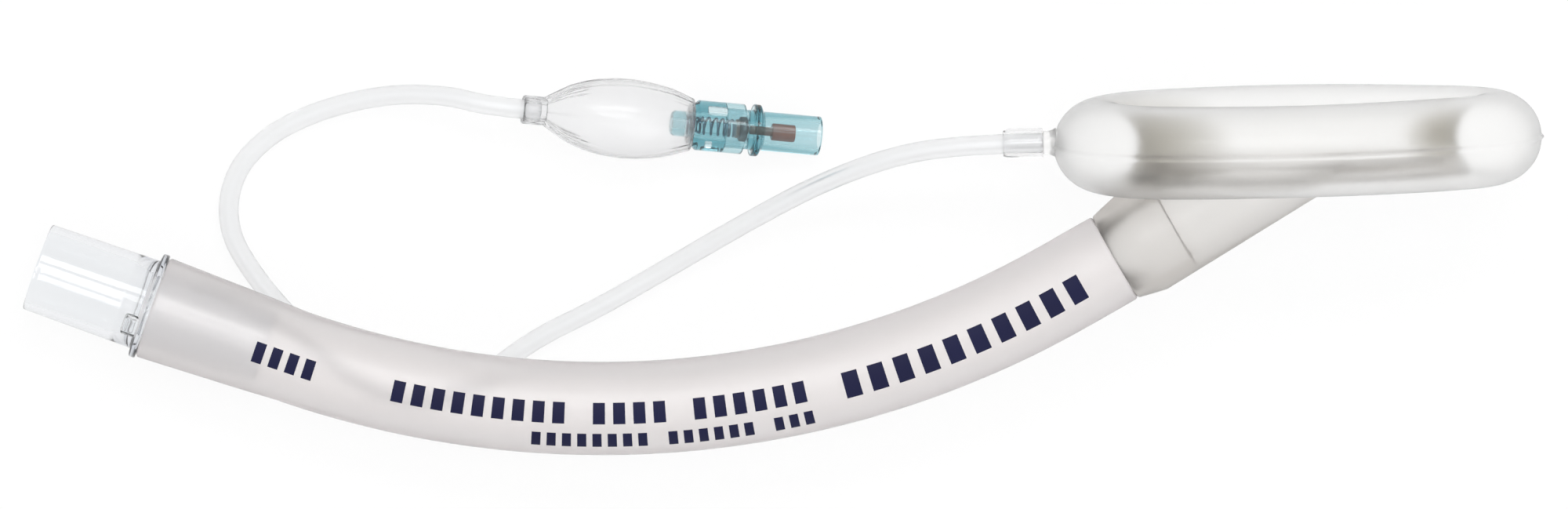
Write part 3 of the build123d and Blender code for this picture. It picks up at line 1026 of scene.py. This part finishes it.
@dataclass
class Cuff:
    """Inflated ring with a weld seam all round, and the stub for the inflation line.

    A bend is a place along the ring and the reach round it where the film gathers.  The
    creases there are so many waves round the whole ring, and they wander a little.
    """

    ring: Ring = field(default_factory=Ring)
    wall: float = 0.8
    outer_grid: tuple[int, int] = (420, 128)
    inner_grid: tuple[int, int] = (300, 96)
    seam_proud: float = 0.38
    seam_half: float = 0.3
    crease: float = 0.16
    crease_from: float = 0.1
    crease_waves: int = 46
    crease_wander: float = 0.6
    wander_waves: int = 5
    bends: tuple[tuple[float, float], ...] = ((66.0, 9.0), (-0.5, 6.0))
    slack: float = 0.05
    slack_waves: int = 3
    slack_turn: float = 1.0
    stub_od: float = 4.0
    stub_bore: float = 1.6
    stub_length: float = 1.7
    stub_rise: float = 0.6
    stub_sunk: float = 0.5
    stub_foot: float = 0.5
    stub_foot_length: float = 1.0
    stub_edge: float = 0.25
    stub_columns: int = 48

    def surface(self, radius: float, seam: float, grid: tuple[int, int]) -> Points:
        """Grid of the blown wall.

        A point is the middle line's point plus the section's radius times the cosine of the
        section angle outwards and the sine of it towards the face.  The seam adds a narrow
        bell round angle zero.  Creases are waves along the ring that live on its inner side
        and fade out where the ring is not bent.  Slack is a broad wave along and round it.

        Args:
            radius: the section's radius.
            seam: how far the seam stands out.
            grid: points along the ring and round its section.

        Returns:
            Points in metres, rows by columns by 3.
        """
        rows, columns = grid
        points, normal = self.ring.plan(rows)
        angle = np.linspace(0.0, 2 * np.pi, columns, endpoint=False)
        off = (angle + np.pi) % (2 * np.pi) - np.pi
        bell = seam * np.exp(-((radius * off / self.seam_half) ** 4))
        way = np.linspace(0.0, 2 * np.pi, rows, endpoint=False)[:, None]
        inner = smoothstep((-np.cos(angle) - self.crease_from) / (1.0 - self.crease_from))[None, :]
        bent = sum(np.exp(-(((points[:, 0] - place) / reach) ** 2)) for place, reach in self.bends)
        bent = bent[:, None]
        wander = self.crease_wander * np.sin(self.wander_waves * way)
        waves = np.cos(self.crease_waves * way + wander) * inner * bent
        creases = self.crease * (1 + waves) * inner * bent
        slack = self.slack * np.sin(self.slack_waves * way + self.slack_turn)
        slack = slack * np.cos(2 * angle[None, :])
        size = radius + bell[None, :] - creases + slack - self.slack
        outward = np.concatenate([normal, np.zeros((rows, 1))], axis=1)[:, None]
        middle = np.concatenate([points, np.zeros((rows, 1))], axis=1)[:, None]
        cosine, sine = np.cos(angle)[None, :, None], np.sin(angle)[None, :, None]
        turn = cosine * outward + sine * np.array(Z_AXIS)
        return self.ring.frame.place(middle + size[..., None] * turn)

    def stub(self) -> Shell:
        """Short nipple at the heel, over the port, with a foot sunk in the film.

        Returns:
            The shell.
        """
        start = self.ring.section_r - self.stub_sunk
        end = self.ring.section_r + self.stub_length
        bore, outside = self.stub_bore / 2, self.stub_od / 2
        outline = [
            (bore, start), (outside + self.stub_foot, start),
            (outside, start + self.stub_foot_length), (outside, end), (bore, end),
        ]
        frame = self.ring.frame.at((0.0, 0.0, self.stub_rise), TOWARDS_TUBE, Z_AXIS)
        wall = softened(outline, self.stub_edge)
        return carried(wall, StraightPath(frame), self.stub_columns)

    def build(self) -> None:
        """Make the cuff's piece."""
        radius = self.ring.section_r
        outside = Shell(self.surface(radius, self.seam_proud, self.outer_grid))
        inside = Shell(self.surface(radius - self.wall, 0.0, self.inner_grid), cavity=True)
        piece = make_piece("inflatable_cuff_film", [outside, inside, self.stub()])
        dress(piece, CUFF_FILM, Body.AIRWAY, "cuff_film", "inflatable_cuff")


@dataclass
class Backplate:
    """Socket, slanting funnel, dish and lip in one moulding.

    The whole wall is one closed grid.  Its columns go round the funnel's axis, and its rows
    go from the socket's rim down the outside of the funnel, out under the dish, over the lip,
    back over the dish and up the funnel's bore.  The lip is (inset from the cuff's middle
    line, height) points, and the seat is where the bonded tube ends in the bore.
    """

    ring: Ring = field(default_factory=Ring)
    rim: Point = (162.025577, 8.217107, 0.0)
    rim_r: float = 7.8
    rim_edge: float = 0.5
    band_r: float = 8.95
    band_at: float = 4.9
    band_run: float = 14.0
    band_narrows: float = 0.5
    closing: float = 2.0
    tube_bore_r: float = 5.4
    seat_depth: float = 11.05
    seat_steps: tuple[tuple[float, float], ...] = (
        (0.0, -0.3), (0.1, 0.0), (0.7, 0.1), (0.9, 0.4))
    dish_depth: float = 5.0
    dish_thickness: float = 1.6
    lip_edge: float = 0.3
    lip: Profile = field(default_factory=lambda: [
        (8.6, -5.8), (8.6, -6.6), (4.3, -6.6), (5.14, -5.85), (6.05, -4.9), (6.75, -3.9),
        (7.3, -2.6), (8.6, -2.6), (8.6, -4.2)])
    columns: int = 144
    funnel_rows: int = 12
    dish_rows: int = 8

    def funnel(self, profile: Points, level: float, columns: Points) -> Points:
        """Rows down a round wall that ends in a level plane below the cuff's middle.

        Each column of the wall ends where its straight line meets the plane, so a row is a
        share of the way from the last fixed station to that end.

        Args:
            profile: (radius, station) points, the last one before the slanted end.
            level: height of the plane, from the cuff's middle.
            columns: angles round the axis.

        Returns:
            Points in millimetres of the side view, rows by columns by 3.
        """
        radii, stations = profile[:, 0], profile[:, 1]
        along = np.array(heading_vector(MASK_HEADING))
        up = np.array(heading_vector(CUFF_HEADING + 90))
        across = np.array([along[1], -along[0], 0.0])
        heel = np.array(HEEL) + up * level
        shrink = np.tan(np.radians(self.closing)) if level < -self.dish_depth else 0.0
        cosine, sine = np.cos(columns)[:, None], np.sin(columns)[:, None]
        ring = cosine * np.array(Z_AXIS) + sine * across
        step = along - shrink * ring
        start = np.array(self.rim) + along * stations[-1] + radii[-1] * ring
        length = ((heel - start) @ up) / (step @ up)
        fixed = np.array(self.rim) + stations[:, None, None] * along + radii[:, None, None] * ring
        share = np.linspace(0.0, 1.0, self.funnel_rows + 1)[1:, None, None]
        return np.concatenate([fixed, start + share * length[:, None] * step])

    def outside(self) -> Points:
        """Socket's rim, its widest band and the funnel's start, as (radius, station) points."""
        corners = [
            (self.tube_bore_r, 0.0), (self.rim_r, 0.0), (self.band_r, self.band_at),
            (self.band_r - self.band_narrows, self.band_at + self.band_run)]
        return softened(corners, self.rim_edge)[CORNER_POINTS:3 * CORNER_POINTS]

    def inside(self) -> Points:
        """Bonded tube's bore and its end in the funnel, as (radius, station) points."""
        edge = [(self.tube_bore_r + wider, self.seat_depth + further)
                for wider, further in self.seat_steps]
        return np.array([(self.tube_bore_r, 0.0), *edge])

    @staticmethod
    def on_ring(points: Points) -> Points:
        """Side-view points as places along and across the ring."""
        flat = np.array(heading_vector(CUFF_HEADING))
        return np.stack([(points - np.array(HEEL)) @ flat, -points[..., 2]], axis=-1)

    def grid(self) -> Points:
        """Whole wall.

        The dish is even steps, eased at both ends, from the funnel's wall straight out to the
        lip, and the lip follows the ring at its own distance inside the middle line.

        Returns:
            Points in metres, rows by columns by 3.
        """
        columns = np.linspace(0.0, 2 * np.pi, self.columns, endpoint=False)
        low = -self.dish_depth - self.dish_thickness / 2
        high = -self.dish_depth + self.dish_thickness / 2
        outer = self.funnel(self.outside(), low, columns)
        inner = self.funnel(self.inside(), high, columns)[::-1]
        about = float(np.mean(self.on_ring(outer[-1])[:, 0]))
        edge = self.on_ring(outer[-1]) - [about, 0.0]
        hole = self.on_ring(inner[0]) - [about, 0.0]
        turn = np.arctan2(edge[:, 1], edge[:, 0])
        ends = np.array(self.lip)
        rounded = softened(self.lip, self.lip_edge)[CORNER_POINTS:-CORNER_POINTS]
        lip = np.concatenate([ends[:1], rounded, ends[-1:]])
        around = np.stack([np.cos(turn), np.sin(turn)], axis=-1)
        rim = self.ring.reach(turn, lip[:, 0], about)[..., None] * around
        share = smoothstep(np.linspace(0.0, 1.0, self.dish_rows + 2))[1:-1, None, None]
        below = edge + share * (rim[0] - edge)
        above = rim[-1] + share * (hole - rim[-1])
        flats = np.concatenate([below, rim, above])
        heights = np.concatenate(
            [np.full(self.dish_rows, low), lip[:, 1], np.full(self.dish_rows, high)])
        deep = np.broadcast_to(heights[:, None, None], (*flats.shape[:2], 1))
        dish = np.concatenate([flats + [about, 0.0], deep], axis=-1)
        return np.concatenate([SIDE.place(outer), self.ring.frame.place(dish), SIDE.place(inner)])

    def build(self) -> None:
        """Make the backplate's piece."""
        piece = make_piece("mask_backplate_moulding", [Shell(self.grid())])
        dress(piece, MASK_PVC, Body.AIRWAY, "soft_mask", "mask_backplate")


@dataclass
class InflationLine:
    """Clear line, limp and lying loose, with the sleeve that joins it to the cuff."""

    line_r: float = 1.65
    bore_r: float = 0.7
    curve_steps: int = 10
    curve_order: int = 3
    point_step: float = 1.0
    columns: int = 32
    sleeve_r: float = 2.5
    sleeve_gap: float = 0.03
    sleeve_start: float = 0.05
    sleeve_length: float = 6.7
    sleeve_taper: float = 0.35
    sleeve_taper_length: float = 0.9
    sleeve_edge: float = 0.3
    sleeve_point_step: float = 0.6
    sleeve_columns: int = 64
    ring: Ring = field(default_factory=Ring)

    def centreline(self) -> Points:
        """Points read from a smooth spline that has the route's points as control points.

        Returns:
            Close points in metres, one to a row.
        """
        curve = bpy.data.curves.new("line_route", "CURVE")
        curve.dimensions = "3D"
        curve.resolution_u = self.curve_steps
        spline = curve.splines.new("NURBS")
        spline.points.add(len(LINE_ROUTE) - 1)
        weighted = np.concatenate([LINE_ROUTE, np.ones((len(LINE_ROUTE), 1))], axis=1)
        spline.points.foreach_set("co", weighted.astype(np.float32).ravel())
        spline.order_u = self.curve_order
        spline.use_endpoint_u = True
        holder = linked("line_route", curve)
        mesh = bpy.data.meshes.new_from_object(holder)
        points = np.zeros(len(mesh.vertices) * 3)
        mesh.vertices.foreach_get("co", points)
        bpy.data.objects.remove(holder)
        bpy.data.meshes.remove(mesh)
        bpy.data.curves.remove(curve)
        return points.reshape(-1, 3)

    def build(self, with_pieces: list[bpy.types.Object]) -> None:
        """Args:
            with_pieces: the balloon's and the valve's pieces; not used.
        """
        points = self.centreline()
        path = PointPath(points)
        length = float(path.lengths()[-1])
        outline = densified(np.array([
            (self.bore_r, 0.0), (self.line_r, 0.0), (self.line_r, length), (self.bore_r, length),
        ]), self.point_step)
        line = make_piece("inflation_line_tube", [carried(outline, path, self.columns)])
        dress(line, LINE_PVC, Body.AIRWAY, "line_plastic", "inflation_line")
        sleeve = make_piece("cuff_port_sleeve_moulding", [self.sleeve()])
        dress(sleeve, SLEEVE_PVC, Body.AIRWAY, "line_plastic", "cuff_port_sleeve")

    def sleeve(self) -> Shell:
        """Sleeve next to the cuff's stub, tapered at its far end.

        Returns:
            The shell.
        """
        inner, end = self.line_r + self.sleeve_gap, self.sleeve_length
        outline = [
            (inner, self.sleeve_start), (self.sleeve_r, self.sleeve_start),
            (self.sleeve_r, end - self.sleeve_taper_length),
            (self.sleeve_r - self.sleeve_taper, end), (inner, end),
        ]
        port = (-self.ring.section_r - Cuff.stub_length, 0.0, Cuff.stub_rise)
        frame = self.ring.frame.at(port, TOWARDS_TUBE, Z_AXIS)
        wall = densified(softened(outline, self.sleeve_edge), self.sleeve_point_step)
        return carried(wall, StraightPath(frame), self.sleeve_columns)


@dataclass
class PilotBalloon:
    """Thin blown bag with a neck, pleated where it gathers into the neck.

    Front and back are knots of its side, as (radius, way) points from the neck's end and from
    the crown.  Each (place, reach) pair is where something starts or lies along the axis, from
    the neck's end or back from the mouth, and how far it spreads.
    """

    neck_od: float = 4.8
    neck_length: float = 3.6
    neck_bevel: tuple[float, float] = (0.15, 0.2)
    neck_middle: float = 1.6
    crown_at: float = 16.8
    mouth_at: float = 28.8
    crown_od: float = 13.4
    mouth_od: float = 8.9
    front: tuple[tuple[float, float], ...] = ((3.6, 2.0), (5.0, 4.6), (6.2, 8.6))
    back: tuple[tuple[float, float], ...] = ((6.5, 4.0), (5.75, 8.2))
    film: float = 0.35
    columns: int = 240
    pleats: int = 8
    pleat_depth: float = 0.6
    pleat_width: float = 0.3
    pleat_wander: float = 0.4
    pleats_lie: tuple[float, float] = (2.5, 4.2)
    pleats_start: tuple[float, float] = (2.4, 2.0)
    mouth_pleat_depth: float = 0.12
    mouth_pleats_lie: tuple[float, float] = (1.5, 2.5)
    seam_turn: float = 0.5
    seam_width: float = 0.06
    seam_height: float = 0.06
    seam_starts: tuple[float, float] = (4.0, 3.0)
    line_r: float = 1.7
    nose_r: float = 2.2

    def side(self, inset: float) -> Profile:
        """Knots of the bag's side from the neck to the mouth.

        Args:
            inset: how far inwards they are moved.

        Returns:
            (radius, station) points.
        """
        front = [(radius - inset, self.neck_length + way) for radius, way in self.front]
        back = [(radius - inset, self.crown_at + way) for radius, way in self.back]
        return [(self.neck_od / 2 - inset, self.neck_length + inset), *front,
                (self.crown_od / 2 - inset, self.crown_at), *back,
                (self.mouth_od / 2 - inset, self.mouth_at - inset)]

    def outline(self) -> Points:
        """Profile of the film: the outside forwards, then the inside backwards.

        Returns:
            Closed profile of (radius, station) points.
        """
        outside, inside = through(self.side(0.0)), through(self.side(self.film))[::-1]
        neck_r, (bevel, bevel_end) = self.neck_od / 2, self.neck_bevel
        front = np.array([(self.line_r, 0.0), (neck_r - bevel, 0.0), (neck_r, bevel_end),
                          (neck_r, self.neck_middle)])
        mouth = np.array([(self.nose_r, self.mouth_at), (self.nose_r, self.mouth_at - self.film)])
        neck = np.array([(self.line_r, self.neck_length + self.film),
                         (self.line_r, self.neck_middle)])
        return np.concatenate([front, outside, mouth, inside, neck])

    def ripple(self, stations: Points, angles: Points) -> Points:
        """Pleats near the neck, faint ones at the mouth, and the seam along each side.

        A pleat is a narrow bell-shaped fold.  They are evenly but not quite equally far apart
        round the axis, and each set fades out with its distance along the axis.

        Args:
            stations: ways along the axis, one to a row.
            angles: angles round it, one to a column.

        Returns:
            What is added to the radius, rows by columns.
        """
        lie, reach = self.pleats_lie
        start, rise = self.pleats_start
        near_neck = np.exp(-(((stations - self.neck_length - lie) / reach) ** 2))
        near_neck = near_neck * smoothstep((stations - start) / rise)
        lie, reach = self.mouth_pleats_lie
        near_mouth = np.exp(-(((stations - self.mouth_at + lie) / reach) ** 2))
        fold = np.sin(self.pleats * angles / 2 + self.pleat_wander * np.sin(2 * angles))
        pleats = -np.exp(-((fold / self.pleat_width) ** 2))
        start, rise = self.seam_starts
        seam = np.exp(-((np.sin(angles - self.seam_turn) / self.seam_width) ** 2))
        seam = seam * self.seam_height * smoothstep((stations - start) / rise)
        deepened = self.pleat_depth * near_neck * pleats
        return deepened + self.mouth_pleat_depth * near_mouth * pleats + seam

    def build(self) -> bpy.types.Object:
        """Make the balloon's piece.

        Returns:
            The piece.
        """
        shell = carried(self.outline(), StraightPath(BALLOON), self.columns, self.ripple)
        piece = make_piece("pilot_balloon_bag", [shell])
        dress(piece, BALLOON_FILM, Body.AIRWAY, "balloon_film", "pilot_balloon")
        return piece


@dataclass(frozen=True)
class Catch:
    """Raised catch on the valve's housing.

    It has an angle round the axis in degrees, a place along it, and a depth, width and length.
    """

    turn: float
    along: float
    size: Point


@dataclass
class CheckValve:
    """Sprung check valve: tail housing, luer body, stem, head, seal and spring.

    Places along its axis are in millimetres from the free end of the balloon's neck.
    """

    nose_at: float = 25.4
    housing_at: float = 29.0
    housing_end: float = 37.7
    flange_at: float = 39.3
    barrel_at: float = 40.4
    barrel_end: float = 50.9
    spring_start: float = 27.6
    neck_start: float = 34.5
    chamber_end: float = 38.5
    luer_floor: float = 40.9
    seal_at: float = 37.0
    collar_at: float = 36.35
    spring_end: float = 36.3
    head_start: float = 42.6
    stem_end: float = 44.6
    vent_r: float = 0.7
    nose_r: float = 2.15
    nose_bevel: tuple[float, float] = (0.3, 0.5)
    housing_r: float = 4.25
    housing_bevel: float = 0.8
    housing_edge: float = 0.18
    joint_r: float = 3.4
    joint_gap: float = 0.05
    spring_bore_r: float = 1.85
    neck_r: float = 3.35
    chamber_r: float = 2.5
    flange_r: float = 4.4
    barrel_r: float = 3.3
    barrel_step: float = 0.5
    luer_mouth_r: float = 2.15
    luer_floor_r: float = 1.85
    seat_r: float = 1.1
    luer_edge: float = 0.2
    collar_r: float = 1.6
    collar_thickness: float = 0.6
    stem_r: float = 0.75
    stem_edge: float = 0.12
    stem_hole_r: float = 0.8
    head_r: float = 1.45
    head_length: float = 4.0
    head_edge: float = 0.35
    seal_r: float = 2.1
    seal_thickness: float = 1.3
    seal_edge: float = 0.3
    travel: float = 1.5
    wire_r: float = 0.21
    wire_gap: float = 0.02
    wire_columns: int = 12
    coil_r: float = 1.38
    coils: float = 8.5
    coil_rows: int = 481
    coil_ease: float = 0.045
    catch_r: float = 3.85
    catch_squareness: float = 0.2
    catches: tuple[Catch, ...] = (
        Catch(42.0, 32.7, (0.9, 1.6, 3.3)), Catch(136.0, 31.6, (0.9, 1.2, 1.2)))
    body_columns: int = 64
    head_columns: int = 48
    stem_columns: int = 40
    path: StraightPath = field(default_factory=lambda: StraightPath(BALLOON))

    def turned(self, outline: Profile, edge: float, columns: int) -> Shell:
        """Turned shape on the valve's axis; a solid one's profile starts and ends on it.

        Args:
            outline: (radius, station) points.
            edge: reach of its rounded corners.
            columns: points round the axis.

        Returns:
            The shell.
        """
        hollow = min(point[0] for point in outline) > 0.0
        return carried(softened(outline, edge), self.path, columns, closed=hollow)

    def catch(self, catch: Catch, side: float) -> Shell:
        """Catch as a soft block.

        Args:
            catch: its place and size.
            side: how far round the axis it is moved, in degrees.

        Returns:
            The shell.
        """
        out = heading_vector(catch.turn + side)
        middle = (out[0] * self.catch_r, out[1] * self.catch_r, catch.along)
        return block(BALLOON.at(middle, Z_AXIS, out), catch.size, self.catch_squareness)

    def housing(self) -> bpy.types.Object:
        """Housing with its nose, its bevel, the joint's socket and two catches on each side.

        Returns:
            The piece.
        """
        bevel, bevel_length = self.nose_bevel
        joint_end = self.neck_start - self.joint_gap
        wall = self.turned([
            (self.vent_r, self.nose_at), (self.nose_r - bevel, self.nose_at),
            (self.nose_r, self.nose_at + bevel_length), (self.nose_r, self.housing_at),
            (self.housing_r - self.housing_bevel, self.housing_at),
            (self.housing_r, self.housing_at + self.housing_bevel),
            (self.housing_r, self.housing_end), (self.joint_r, self.housing_end),
            (self.joint_r, joint_end), (self.spring_bore_r, joint_end),
            (self.spring_bore_r, self.spring_start), (self.vent_r, self.spring_start),
        ], self.housing_edge, self.body_columns)
        catches = [self.catch(catch, side) for side in (0.0, 180.0) for catch in self.catches]
        return make_piece("valve_housing_moulding", [wall, *catches])

    def luer_body(self) -> bpy.types.Object:
        """Neck, flange and barrel with the chamber, seat and luer taper.

        Returns:
            The piece.
        """
        return make_piece("valve_luer_moulding", [self.turned([
            (self.chamber_r, self.neck_start), (self.neck_r, self.neck_start),
            (self.neck_r, self.flange_at), (self.flange_r, self.flange_at),
            (self.flange_r, self.barrel_at), (self.barrel_r, self.barrel_at + self.barrel_step),
            (self.barrel_r, self.barrel_end), (self.luer_mouth_r, self.barrel_end),
            (self.luer_floor_r, self.luer_floor), (self.seat_r, self.luer_floor),
            (self.seat_r, self.chamber_end), (self.chamber_r, self.chamber_end),
        ], self.luer_edge, self.body_columns)])

    def stem(self) -> bpy.types.Object:
        """Stem with its collar.

        Returns:
            The piece.
        """
        collar_end = self.collar_at + self.collar_thickness
        return make_piece("valve_stem_rod", [self.turned([
            (0.0, self.collar_at), (self.collar_r, self.collar_at), (self.collar_r, collar_end),
            (self.stem_r, collar_end), (self.stem_r, self.stem_end), (0.0, self.stem_end),
        ], self.stem_edge, self.stem_columns)])

    def head(self) -> bpy.types.Object:
        """Head on the stem's end.

        Returns:
            The piece.
        """
        hole_end, end = self.stem_end + self.joint_gap, self.head_start + self.head_length
        return make_piece("valve_head_cap", [self.turned([
            (0.0, hole_end), (self.stem_hole_r, hole_end), (self.stem_hole_r, self.head_start),
            (self.head_r, self.head_start), (self.head_r, end), (0.0, end),
        ], self.head_edge, self.head_columns)])

    def seal(self) -> bpy.types.Object:
        """Soft ring between collar and seat.

        Returns:
            The piece.
        """
        end = self.seal_at + self.seal_thickness
        return make_piece("valve_seal_ring", [self.turned([
            (self.stem_hole_r, self.seal_at), (self.seal_r, self.seal_at), (self.seal_r, end),
            (self.stem_hole_r, end),
        ], self.seal_edge, self.head_columns)])

    def spring(self) -> bpy.types.Object:
        """Coil spring with closed end coils.

        The wire's middle goes round at a fixed radius while its height grows slowly over the
        first and last coil and evenly between them.

        Returns:
            The piece.
        """
        way = np.linspace(0.0, 1.0, self.coil_rows)
        angle = 2 * np.pi * self.coils * way
        eased = way - self.coil_ease * np.sin(2 * np.pi * way)
        low = self.spring_start + self.wire_r + self.wire_gap
        high = self.spring_end - self.wire_r - self.wire_gap
        round_axis = self.coil_r * np.cos(angle), self.coil_r * np.sin(angle)
        centres = BALLOON.place(np.stack([*round_axis, low + (high - low) * eased], 1))
        along = unit(np.gradient(centres, axis=0))
        outward = unit(BALLOON.direction(np.stack([np.cos(angle), np.sin(angle), 0 * angle], 1)))
        second = np.cross(along, outward)
        turn = np.linspace(0.0, 2 * np.pi, self.wire_columns, endpoint=False)[None, :, None]
        ring = np.cos(turn) * outward[:, None] + np.sin(turn) * second[:, None]
        size = np.ones(len(way))
        size[[0, -1]] = 0.0
        grid = centres[:, None] + MM * self.wire_r * size[:, None, None] * ring
        return make_piece("valve_coil_spring", [Shell(grid, closed=False)])

    def build(self) -> list[bpy.types.Object]:
        """Make the valve's six pieces, and give the spring a mesh of its own.

        Returns:
            The pieces.
        """
        housing, luer, spring = self.housing(), self.luer_body(), self.spring()
        stem, head, seal = self.stem(), self.head(), self.seal()
        dress(housing, VALVE_TEAL, Body.AIRWAY, "valve_teal", "valve_tail_housing")
        dress(luer, VALVE_TEAL, Body.AIRWAY, "valve_teal", "valve_luer_body")
        dress(spring, SPRING_STEEL, Body.AIRWAY, "spring_steel", "valve_spring")
        dress(stem, STEM_PLASTIC, Body.PLUNGER, "valve_stem_plastic", "valve_stem")
        dress(head, HEAD_BROWN, Body.PLUNGER, "head_brown", "valve_stem_head")
        dress(seal, SEAL_RUBBER, Body.PLUNGER, "seal_rubber", "valve_seal")
        anchor = BALLOON.place(np.array([0.0, 0.0, self.spring_start]))
        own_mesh(spring)
        return [housing, luer, spring, stem, head, seal]


@dataclass(frozen=True)
class Panel:
    """Soft light panel: its place and its two sides in metres, and its power in watts."""

    name: str
    place: Point
    size: tuple[float, float]
    power: float


@dataclass
class Studio:
    """Pale floor, soft light and the camera, which looks down on the part."""

    distance: float = 1.25
    frame_width: float = 0.26316
    image_middle: tuple[float, float] = (106.5, 8.62)
    sensor_width: float = 36.0
    clip: tuple[float, float] = (0.1, 20.0)
    floor_half: float = 1.5
    floor_grey: float = 0.93
    floor_roughness: float = 0.9
    floor_white_share: float = 0.9
    world_strength: float = 0.72
    panel_level: Point = (0.0, 1.0, 0.01)
    panels: tuple[Panel, ...] = (
        Panel("key_panel", (0.04, 0.52, 0.78), (0.6, 0.22), 3.0),
        Panel("fill_panel", (0.45, -0.6, 0.7), (0.6, 0.6), 1.3),
        Panel("top_panel", (0.02, 0.2, 0.9), (0.42, 0.22), 1.6),
    )

    def axes(self) -> tuple[Points, Points, Points]:
        """Camera's axes: the side view's, turned about X by the lean.

        Returns:
            Image right, image up and the way back to the camera, as unit vectors.
        """
        turn = np.radians(VIEW_LEAN)
        up = SIDE.y * np.cos(turn) - SIDE.z * np.sin(turn)
        back = SIDE.y * np.sin(turn) + SIDE.z * np.cos(turn)
        return SIDE.x, up, back

    def camera(self) -> None:
        """Long lens from far off, so that the view is nearly parallel."""
        right, up, back = self.axes()
        middle = SIDE.origin + MM * (self.image_middle[0] * right + self.image_middle[1] * up)
        data = bpy.data.cameras.new("camera")
        data.sensor_width = self.sensor_width
        data.lens = data.sensor_width * self.distance / self.frame_width
        data.clip_start, data.clip_end = self.clip
        camera = linked("camera", data)
        camera.matrix_world = standing(right, up, back, middle + back * self.distance)
        bpy.context.scene.camera = camera

    def floor(self) -> None:
        """Level floor: it shows near white, and a light shadow stays on it."""
        half = self.floor_half
        mesh = bpy.data.meshes.new("floor")
        corners = [(-half, -half, 0.0), (half, -half, 0.0), (half, half, 0.0), (-half, half, 0.0)]
        mesh.from_pydata(corners, [], [(0, 1, 2, 3)])
        linked("floor", mesh)
        material = bpy.data.materials.new("studio_floor")
        material.use_nodes = True
        tree = material.node_tree
        shader = node_of(tree, "BSDF_PRINCIPLED")
        shader.inputs["Base Color"].default_value = (*(self.floor_grey,) * 3, 1.0)
        shader.inputs["Roughness"].default_value = self.floor_roughness
        glow = tree.nodes.new("ShaderNodeEmission")
        glow.inputs["Color"].default_value = (1.0, 1.0, 1.0, 1.0)
        glow.inputs["Strength"].default_value = 1.0
        share = tree.nodes.new("ShaderNodeMath")
        share.operation = "MULTIPLY"
        share.inputs[1].default_value = self.floor_white_share
        tree.links.new(self._seen(tree), share.inputs[0])
        mix = tree.nodes.new("ShaderNodeMixShader")
        tree.links.new(share.outputs[0], mix.inputs["Fac"])
        tree.links.new(shader.outputs[0], mix.inputs[1])
        tree.links.new(glow.outputs[0], mix.inputs[2])
        tree.links.new(mix.outputs[0], node_of(tree, "OUTPUT_MATERIAL").inputs["Surface"])
        mesh.materials.append(material)

    @staticmethod
    def _seen(tree: bpy.types.NodeTree) -> bpy.types.NodeSocket:
        """Value that is 1 for a ray from the camera, a reflection or a clear piece, else 0.

        Args:
            tree: nodes of a material or the world.

        Returns:
            The socket with the value.
        """
        rays = tree.nodes.new("ShaderNodeLightPath")
        seen = rays.outputs["Is Camera Ray"]
        for other in ("Is Glossy Ray", "Is Transmission Ray"):
            larger = tree.nodes.new("ShaderNodeMath")
            larger.operation = "MAXIMUM"
            tree.links.new(seen, larger.inputs[0])
            tree.links.new(rays.outputs[other], larger.inputs[1])
            seen = larger.outputs[0]
        return seen

    def surroundings(self) -> None:
        """Pale world that is white where it is seen."""
        world = bpy.data.worlds.new("studio")
        world.use_nodes = True
        bpy.context.scene.world = world
        tree = world.node_tree
        sky = node_of(tree, "BACKGROUND")
        sky.inputs["Color"].default_value = (1.0, 1.0, 1.0, 1.0)
        strength = tree.nodes.new("ShaderNodeMapRange")
        strength.inputs["To Min"].default_value = self.world_strength
        strength.inputs["To Max"].default_value = 1.0
        tree.links.new(self._seen(tree), strength.inputs["Value"])
        tree.links.new(strength.outputs["Result"], sky.inputs["Strength"])

    def lamp(self, panel: Panel) -> None:
        """Light panel that faces the part.

        Args:
            panel: its place, size and power.
        """
        data = bpy.data.lights.new(panel.name, "AREA")
        data.shape = "RECTANGLE"
        (data.size, data.size_y), data.energy = panel.size, panel.power
        place = np.array(panel.place)
        back = unit(place)
        side = unit(np.cross(np.array(self.panel_level), back))
        linked(panel.name, data).matrix_world = standing(side, np.cross(back, side), back, place)

    def build(self) -> None:
        """Camera, floor and light."""
        self.camera()
        self.floor()
        self.surroundings()
        for panel in self.panels:
            self.lamp(panel)
        bpy.context.scene.view_settings.view_transform = "Standard"


def main() -> None:
    """Build the sub-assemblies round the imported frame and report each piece."""
    logging.basicConfig(level=logging.INFO, format="%(name)s: %(message)s")
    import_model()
    Studio().build()
    Connector().build()
    AirwayTube().build()
    TubePrint().build()
    Backplate().build()
    Cuff().build()
    balloon = PilotBalloon().build()
    valve = CheckValve().build()
    InflationLine().build([balloon, *valve])


if __name__ == "__main__":
    main()
